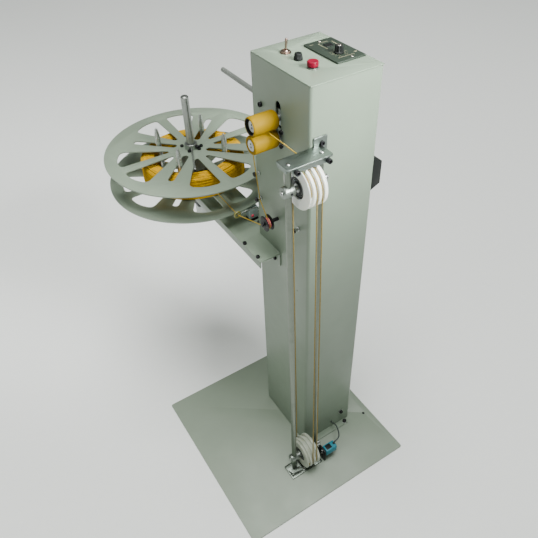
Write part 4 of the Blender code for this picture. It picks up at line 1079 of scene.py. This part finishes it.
def guide_pulley():
    low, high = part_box("guide_pulley")
    r = (high.y - low.y) / 2
    width = high.x - low.x
    place = (low.x + 0.001, GUIDE.y, GUIDE.z)
    disc = [(0.0027, -0.001), (0.006, -0.001), (r - 0.0017, 0.0, 0.002), (r, 0.001), (r - 0.0017, 0.0022),
            (0.0098, 0.0042), (0.0098, 0.0098), (r - 0.0017, 0.0118), (r, 0.013),
            (r - 0.0017, 0.014, 0.002), (0.006, width - 0.001), (0.0027, width - 0.001)]
    black = turned("guide_discs", disc, BLACK, place, "X", 0.0005)
    liner = turned("liner", [(0.0097, 0.0043), (0.0112, 0.0041), (0.0101, 0.007, 0.002), (0.0112, 0.0099),
                             (0.0097, 0.0097)], PINK, place, "X", 0.0003)
    pieces = [black, liner]
    for k in range(5):
        y, z = polar(0.0108, 18 + 72 * k)
        pieces.append(turned("dimple", [(0, 0), (0.0019, 0), (0.0017, 0.0003), (0, 0.0003)], BEARING_BLACK,
                             (place[0] - 0.00045, GUIDE.y + y, GUIDE.z + z), "-X", 0, 20))
    placed(joined("guide_discs", pieces), "guide_pulley", "black_plastic", "guide_pulley")
    low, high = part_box("guide_pulley_stud")
    start, end = low.x - GUIDE.x, high.x - GUIDE.x
    stud = turned("guide_stud", [(0, start), (0.0036, start), (0.004, start + 0.0006), (0.004, -0.0089),
                                 (0.0024, -0.0088), (0.0024, 0.0085), (0.004, 0.0086),
                                 (0.004, end), (0, end)], OXIDE, (GUIDE.x, GUIDE.y, GUIDE.z), "X", 0.0003)
    placed(stud, COLUMN, "black_steel", "guide_pulley_stud")


def reel_sensor():
    """Reflex sensor: grey case on a dark base, with a red lamp in its front."""
    low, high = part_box("reel_sensor")
    case = block("sensor_case", low + Vector((0, 0, 0.006)), high, SENSOR_CASE, 0.0015)
    base = block("base", low, Vector((high.x, high.y, low.z + 0.0058)), BLACK, 0.0006)
    lamp = turned("lamp", [(0, 0), (0.0042, 0), (0.0042, 0.001), (0.003, 0.0032, 0.001),
                           (0, 0.0038, 0.001)], LAMP, (low.x + 0.0075, low.y + 0.0002, low.z + 0.014),
                  "-Y", 0.0005, 40)
    lamp.matrix_world = Matrix.Translation((0, 0.0016, 0)) @ lamp.matrix_world
    placed(joined("sensor_case", [case, base, lamp]), COLUMN, "smoked_plastic", "reel_sensor")


EYELET_R = 0.0092


def eyelet_centre():
    low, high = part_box("yarn_eyelet")
    return Vector((low.x + EYELET_R, (low.y + high.y) / 2, high.z - EYELET_R))


def eyelet():
    low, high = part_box("yarn_eyelet")
    centre = eyelet_centre()
    ring = turned("eyelet_ring", [(0.005, -0.0025), (0.008, -0.0025, 0.001), (EYELET_R, 0.0, 0.001),
                                  (0.008, 0.0025, 0.001), (0.005, 0.0025), (0.004, 0.0, 0.001)],
                  OLIVE, centre, "Y", 0.0008, 64)
    post_x, bend = high.x - 0.0025, 0.008
    route = [centre + Vector((0.0078, 0, 0)), centre + Vector((0.016, 0, 0)),
             Vector((post_x - bend, centre.y, centre.z))]
    route += [Vector((post_x - bend + bend * math.sin(math.radians(a)), centre.y,
                      centre.z - bend + bend * math.cos(math.radians(a)))) for a in (15, 30, 45, 60, 75, 90)]
    route += [Vector((post_x, centre.y, low.z + 0.002))]
    wire = swept("wire", route, lambda i: circle(0, 0, 0.0018, 16), CHROME)
    foot = turned("foot", [(0, 0), (0.0046, 0), (0.0046, 0.0022), (0.0026, 0.0032), (0, 0.0034)], OXIDE,
                  (post_x, centre.y, low.z), "Z", 0.0003, 40)
    placed(joined("eyelet_ring", [ring, wire, foot]), COLUMN, "eyelet_ceramic", "yarn_eyelet")


def one_guide_pin(name, y, z, nodes=()):
    """Ground steel pin between two black collars."""
    black = turned(name, [(0, -0.014), (0.0042, -0.014), (0.005, -0.0132), (0.005, -0.01),
                          (0.003, -0.0098), (0, -0.0098)], OXIDE, at(0, y, z), "X", 0.0003, 48)
    pin = turned("pin", [(0, -0.01), (0.0028, -0.01), (0.0028, -0.0019), (0, -0.0019)], CHROME,
                 at(0, y, z), "X", 0, 48)
    root = turned("root", [(0, -0.002), (0.005, -0.002), (0.005, -0.0003), (0, -0.0003)], CHROME,
                  at(0, y, z), "X", 0.0003, 48)
    placed(joined(name, [black, pin, root]), COLUMN, "black_steel", *nodes)


def guide_pins():
    centre = middle("guide_pin") - CORNER
    one_guide_pin("yarn_pin", centre.y, centre.z, ("guide_pin",))
    one_guide_pin("upper_pin", 0.172, 0.777)
    one_guide_pin("front_pin", 0.0315, 0.723)


# ---- pulley units in front of the column -------------------------------------------------------
GROOVE_FIRST, GROOVE_STEP, GROOVE_ROOT = 0.0052, 0.01133, 0.0345


def pulley_unit(kind):
    """Grooved nylon pulley with its sealed bearing, shaft and rod clamp."""
    low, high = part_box(f"{kind}_pulley")
    r, length = (high.z - low.z) / 2, high.x - low.x
    centre = (low + high) / 2
    place = (low.x, centre.y, centre.z)
    root = GROOVE_ROOT
    profile = [(0.0205, 0.0, 0.0008), (r - 0.0012, 0.0, 0.001), (r, 0.001, 0.0006)]
    for i in range(3):
        centre_x = GROOVE_FIRST + i * GROOVE_STEP
        profile += [(r, centre_x - 0.0031, 0.0014), (root + 0.001, centre_x - 0.0022, 0.0012),
                    (root, centre_x, 0.0014), (root + 0.001, centre_x + 0.0022, 0.0012),
                    (r, centre_x + 0.0031, 0.0014)]
    profile += [(r, length - 0.0014, 0.001), (r - 0.0012, length, 0.001), (0.008, length),
                (0.008, 0.011), (0.0205, 0.011)]
    wheel = turned(f"{kind}_wheel", profile, NYLON[kind], place, "X", 0.0005, 128, 4)
    placed(wheel, f"{kind}_pulley", "white_nylon", f"{kind}_pulley")
    seal = [(0.0043, 0.001), (0.0108, 0.001), (0.0112, 0.0022), (0.0118, 0.0034), (0.017, 0.0034),
            (0.0176, 0.0028), (0.0202, 0.0028), (0.0202, 0.0107), (0.0043, 0.0107)]
    bearing = turned(f"{kind}_bearing", seal, BEARING_BLACK, place, "X", 0.0003)
    race = turned("race", [(0.0043, 0.0006), (0.0078, 0.0006), (0.008, 0.0014), (0.0043, 0.0014)],
                  SPINDLE_STEEL, place, "X", 0.0002)
    rings = [turned("ring", [(q, 0.0033), (q + 0.0003, 0.003), (q + 0.0006, 0.0033)], SPINDLE_STEEL, place,
                    "X", 0, 72) for q in (0.0128, 0.0158)]
    placed(joined(f"{kind}_bearing", [bearing, race] + rings), f"{kind}_pulley", "black_steel",
           f"{kind}_pulley_bearing")
    rod_x = 0.051
    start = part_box(f"{kind}_shaft")[0].x - low.x
    shaft = turned(f"{kind}_axle", [(0, start), (0.004, start), (0.004, length + 0.003),
                                    (0.0085, length + 0.004),
                                    (0.0085, length + 0.022), (0.0078, length + 0.0228),
                                    (0.004, length + 0.0228), (0.0042, length + 0.0268),
                                    (0, length + 0.0268)],
                   CHROME, place, "X", 0.0005, 64)
    bored(shaft, 0.005, (low.x + rod_x, centre.y, centre.z - 0.02), 0.04, "Z")
    key = bored(shaft, 0.002, (low.x + length + 0.0275, centre.y, centre.z), 0.003, "-X", 6)
    placed(key, COLUMN, "bright_steel", f"{kind}_shaft")
    rod_left = -0.0165
    clamp = turned(f"{kind}_clamp", [(0, -0.0112), (0.0098, -0.0112), (0.011, -0.01), (0.011, 0.0092),
                                     (0.01, 0.0102), (0, 0.0102)], ZINC_TURNED,
                   (low.x + rod_left, centre.y, centre.z), "X", 0.0005, 64)
    bored(clamp, 0.0064, (low.x + rod_left, centre.y, centre.z - 0.02), 0.04, "Z")
    screw = cap_screw("screw", (low.x + rod_left - 0.011, centre.y, centre.z), "-X", 0.0037, 0.0036, CHROME)
    grub = cap_screw("grub", (low.x + rod_left, centre.y - 0.0108, centre.z), "-Y", 0.0024, 0.0008)
    placed(joined(f"{kind}_clamp", [clamp, screw, grub]), COLUMN, "zinc_plate", f"{kind}_rod_clamp")
    grub = cap_screw(f"{kind}_shaft_grub", (low.x + rod_x, centre.y - 0.0083, centre.z), "-Y", 0.0024, 0.0008)
    placed(grub, COLUMN, "black_steel")


def guide_rods():
    """Ground rods. Both ends are level though the rods lean, as in the frame."""
    for side, radius in (("left", 0.006), ("right", 0.0045)):
        node = f"guide_rod_{side}"
        low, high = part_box(node)
        foot = Vector((low.x + radius, low.y + radius, low.z))
        head = Vector((high.x - radius, high.y - radius, high.z))
        bm = bmesh.new()
        rings = [[bm.verts.new(p + Vector((x, y, 0))) for x, y in circle(0, 0, radius, 48)]
                 for p in (foot, head)]
        for k in range(48):
            bm.faces.new((rings[0][k - 1], rings[0][k], rings[1][k], rings[1][k - 1]))
        bm.faces.new(list(reversed(rings[0])))
        bm.faces.new(rings[1])
        rod = finished(f"{side}_rod", bm, ROD_STEEL)
        placed(rod, COLUMN, "bright_steel", node)


def top_bracket():
    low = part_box("top_bracket")[0]
    x0 = low.x - CORNER.x
    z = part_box("guide_rod_left")[1].z - CORNER.z + 0.0003
    front, back = low.y - CORNER.y, -0.0003
    plan = [(x0, front, 0.006), (0.022, front, 0.006), (0.022, back, 0.003), (x0, back, 0.004)]
    plate = extruded("bracket_plate", eased(plan, 0.004, 4, True), [], 0.004, BRIGHT_SHEET, at(0, 0, z), "Z",
                     0.0008, 3)
    pieces = [plate,
              block("front_lip", at(-0.061, front + 0.0002, z - 0.008), at(0.014, front + 0.0032, z + 0.003),
                    BRIGHT_SHEET, 0.001),
              block("end_lip", at(x0 + 0.0002, -0.031, z - 0.006), at(x0 + 0.0028, -0.004, z + 0.003),
                    BRIGHT_SHEET, 0.0008),
              block("wall_tab", at(0.006, back - 0.003, z - 0.03), at(0.034, back + 0.0001, z + 0.02),
                    BRIGHT_SHEET, 0.0008)]
    placed(joined("bracket_plate", pieces), COLUMN, "zinc_plate", "top_bracket")
    placed(cap_screw("bracket_wall_screw", at(0.022, back - 0.003, z + 0.008), "-Y", 0.0045, 0.0045), COLUMN,
           "black_steel")
    for i, (x, y) in enumerate(((-0.0595, -0.023), (0.008, -0.023))):
        placed(pan_screw(f"rod_end_screw_{i + 1}", at(x, y, z + 0.004), "Z", 0.0042), COLUMN, "bright_steel")
    cap_screws("lip_screw", [at(x, front + 0.0002, z - 0.0035) for x in (-0.054, 0.01)],
               "-Y", 0.0048, 0.0075)


def bottom_bracket():
    low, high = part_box("bottom_bracket")
    plate = extruded("foot_plate", rectangle(low.x, high.x, low.y, high.y, 0.003),
                     [circle(*at(-0.08, -0.061, 0).xy, 0.0025)], high.z - low.z, FOOT_SHEET, (0, 0, low.z),
                     "Z", 0.0007)
    placed(plate, COLUMN, "zinc_plate", "bottom_bracket")
    cap_screws("foot_plate_screw", [(low.x + x, low.y + 0.007, high.z) for x in (0.04, 0.062)],
               "Z", 0.004, 0.004, CHROME, "bright_steel")


def pulley_sensor():
    low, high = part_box("sensor_bracket")
    foot = block("sensor_foot", (low.x, low.y + 0.015, low.z), (high.x, high.y, low.z + 0.0027),
                 OXIDE, 0.0006)
    post = block("post", Vector((low.x + 0.0002, low.y, low.z + 0.0002)),
                 Vector((low.x + 0.005, low.y + 0.025, high.z)), OXIDE, 0.0008)
    placed(joined("sensor_foot", [foot, post]), COLUMN, "black_steel", "sensor_bracket")
    placed(cap_screw("sensor_foot_screw", (high.x - 0.006, high.y - 0.008, low.z + 0.0027), "Z", 0.0036,
                     0.0035), COLUMN, "black_steel")
    low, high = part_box("pulley_sensor")
    case = block("teal_sensor", low, high, TEAL, 0.0022, 3)
    lid = block("lid", Vector((low.x + 0.004, low.y + 0.003, high.z - 0.0006)),
                Vector((low.x + 0.02, high.y - 0.003, high.z + 0.0002)), BLACK, 0.0002)
    gland = turned("gland", [(0, 0), (0.0036, 0), (0.0036, 0.001), (0, 0.001)], BLACK,
                   at(0.0465, -0.0667, high.z - CORNER.z - 0.0004), "Z", 0.0002, 40)
    placed(joined("teal_sensor", [case, lid, gland]), COLUMN, "sensor_teal", "pulley_sensor")
    spots = [(low.x - 0.0052, (low.y + high.y) / 2 + 0.002, z) for z in (low.z + 0.005, high.z - 0.005)]
    cap_screws("sensor_side_screw", spots, "-X", 0.0026, 0.0026, CHROME, "bright_steel")


# ---- yarn and cable ----------------------------------------------------------------------------
YARN_R, STRAND_R = 0.0011, 0.0015


def sensor_cable():
    """Cable from the sensor's top, over in a loose bow and in through the column's front wall."""
    route = [at(0.0465, -0.0667, 0.0472), at(0.0495, -0.0675, 0.053), at(0.059, -0.0665, 0.056),
             at(0.0685, -0.06, 0.0525), at(0.0775, -0.047, 0.0465), at(0.085, -0.031, 0.041),
             at(0.0893, -0.017, 0.034), at(0.09, -0.008, 0.0275), at(0.0896, -0.001, 0.0243),
             at(0.0895, 0.008, 0.024)]
    path = smooth_route(route, 4)
    curve = bpy.data.curves.new("sensor_lead", "CURVE")
    curve.dimensions = "3D"
    curve.bevel_depth = 0.0018
    curve.bevel_resolution = 4
    curve.use_fill_caps = True
    spline = curve.splines.new("POLY")
    spline.points.add(len(path) - 1)
    for knot, point in zip(spline.points, path):
        knot.co = (*point, 1.0)
    spline.use_smooth = True
    lead = bpy.data.objects.new("sensor_lead", curve)
    curve.materials.append(CABLE)
    bpy.context.scene.collection.objects.link(lead)
    placed(lead, COLUMN, "cable_pvc", "sensor_cable")


def yarn_runs():
    for name in ("yarn_front_left", "yarn_front_right", "yarn_back_left", "yarn_back_middle"):
        low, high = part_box(name)
        foot = Vector((low.x + STRAND_R, low.y + STRAND_R, low.z))
        head = Vector((high.x - STRAND_R, high.y - STRAND_R, high.z))
        placed(ply_yarn(name + "_strand", [foot, head], STRAND_R, STRAND_YARN), COLUMN, "yellow_yarn", name)
    bend_r = GROOVE_ROOT + STRAND_R + 0.0004
    bends = (("top", 0, 0, 180), ("top", 1, 0, 180), ("top", 2, 68, 180), ("bottom", 0, 180, 360),
             ("bottom", 1, 180, 360), ("bottom", 2, 180, 330))
    for kind, groove, start, stop in bends:
        wheel = middle(f"{kind}_pulley")
        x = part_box(f"{kind}_pulley")[0].x + GROOVE_FIRST + groove * GROOVE_STEP
        route = [Vector((x, wheel.y + bend_r * math.cos(math.radians(a)),
                         wheel.z + bend_r * math.sin(math.radians(a)))) for a in range(start, stop + 1, 4)]
        bend = ply_yarn(f"{kind}_bend_{groove + 1}", route, STRAND_R, STRAND_YARN)
        placed(bend, COLUMN, "yellow_yarn")
    nip = (ROLLER_LOW.z + ROLLER_HIGH.z) / 2 - CORNER.z
    wheel = middle("top_pulley") - CORNER
    groove_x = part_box("top_pulley")[0].x - CORNER.x + GROOVE_FIRST + 2 * GROOVE_STEP
    run = [at(groove_x, wheel.y + 0.012, wheel.z + 0.0375),
           at(-0.026, ROLLER_LOW.y - CORNER.y - 0.012, nip + 0.0005)]
    placed(ply_yarn("feed_strand", run, YARN_R, RUN_YARN), COLUMN, "yellow_yarn", "yarn_to_rollers")
    pin = middle("guide_pin") - CORNER
    run = [at(-0.05, ROLLER_LOW.y - CORNER.y + 0.0175, nip + 0.0005), at(-0.0062, pin.y - 0.0045, pin.z)]
    wrap_r = 0.0118
    run += [at(GUIDE.x - CORNER.x, GUIDE.y - CORNER.y + wrap_r * math.cos(math.radians(a)),
               GUIDE.z - CORNER.z + wrap_r * math.sin(math.radians(a))) for a in range(95, 254, 14)]
    run += [eyelet_centre(), at(-0.05, 0.309, 0.69)]
    placed(ply_yarn("reel_strand", run, YARN_R, RUN_YARN), COLUMN, "yellow_yarn", "yarn_to_reel")


# ---- camera, light and floor -------------------------------------------------------------------
def camera():
    """Camera of a standing viewer: its place, heading, downward tilt and roll."""
    place = Vector((-0.4761, -0.7671, 1.4134))
    yaw, pitch, roll = (math.radians(a) for a in (59.294, 42.088, -2.511))
    ahead = Vector((math.cos(pitch) * math.cos(yaw), math.cos(pitch) * math.sin(yaw), -math.sin(pitch)))
    right = ahead.cross(Vector((0, 0, 1))).normalized()
    up = right.cross(ahead)
    right, up = (math.cos(roll) * right + math.sin(roll) * up, math.cos(roll) * up - math.sin(roll) * right)
    turn = Matrix((right, up, -ahead)).transposed()
    lens = bpy.data.cameras.new("camera")
    lens.sensor_width = 36.0
    lens.lens = 38.25
    lens.clip_start = 0.01
    eye = bpy.data.objects.new("camera", lens)
    eye.matrix_world = Matrix.Translation(place) @ turn.to_4x4()
    bpy.context.scene.collection.objects.link(eye)
    bpy.context.scene.camera = eye


def softbox(name, place, target, size, power, colour=(1, 1, 1), spread=180):
    light = bpy.data.lights.new(name, "AREA")
    light.shape = "RECTANGLE"
    light.size, light.size_y = size
    light.energy = power
    light.color = colour
    light.spread = math.radians(spread)
    obj = bpy.data.objects.new(name, light)
    obj.location = place
    obj.rotation_euler = (Vector(target) - Vector(place)).to_track_quat("-Z", "Y").to_euler()
    bpy.context.scene.collection.objects.link(obj)


def studio():
    """Large overhead light, a beam on the column's upper front, a weak fill, a little sky."""
    world = bpy.data.worlds.new("studio")
    bpy.context.scene.world = world
    world.use_nodes = True
    world.node_tree.nodes["Background"].inputs["Color"].default_value = (0.93, 1.0, 0.94, 1)
    world.node_tree.nodes["Background"].inputs["Strength"].default_value = 0.22
    bm = bmesh.new()
    bmesh.ops.create_grid(bm, x_segments=1, y_segments=1, size=30.0)
    floor = finished("floor", bm, FLOOR, (0, 0, -0.0002), "Z", False)
    softbox("overhead", (-0.3, -0.2, 7.0), (-0.1, 0.1, 0), (4.0, 4.0), 620, (0.98, 1.0, 0.97))
    softbox("front_beam", (0.35, -0.8, 1.5), (0.12, -0.08, 1.04), (0.4, 0.4), 3.6, (0.97, 1.0, 0.98), 42)
    softbox("left_fill", (-1.6, -0.3, 1.2), (0.0, 0.1, 0.6), (0.6, 0.6), 3.2, (1.0, 1.0, 0.94))


# ---- build -------------------------------------------------------------------------------------
camera()
sensor_cable()
base_plate()
column_wrap()
top_sheet()
rear_cover()
mains_inlet()
rear_rod()
toggle_switch()
fuse_holder()
push_button()
speed_controller()
speed_knob()
feed_rollers()
reel_arm()
reel_drive()
spindle()
flange("lower_disc", LOWER_Z, 0.0093, "reel", "lower_reel_flange")
flange("upper_disc", REEL_LOW.z, 0.012, "lift_off_flange", "upper_reel_flange")
hub_collar()
pegs()
coil()
guide_pulley()
reel_sensor()
eyelet()
guide_pins()
pulley_unit("top")
pulley_unit("bottom")
guide_rods()
top_bracket()
bottom_bracket()
pulley_sensor()
yarn_runs()
studio()
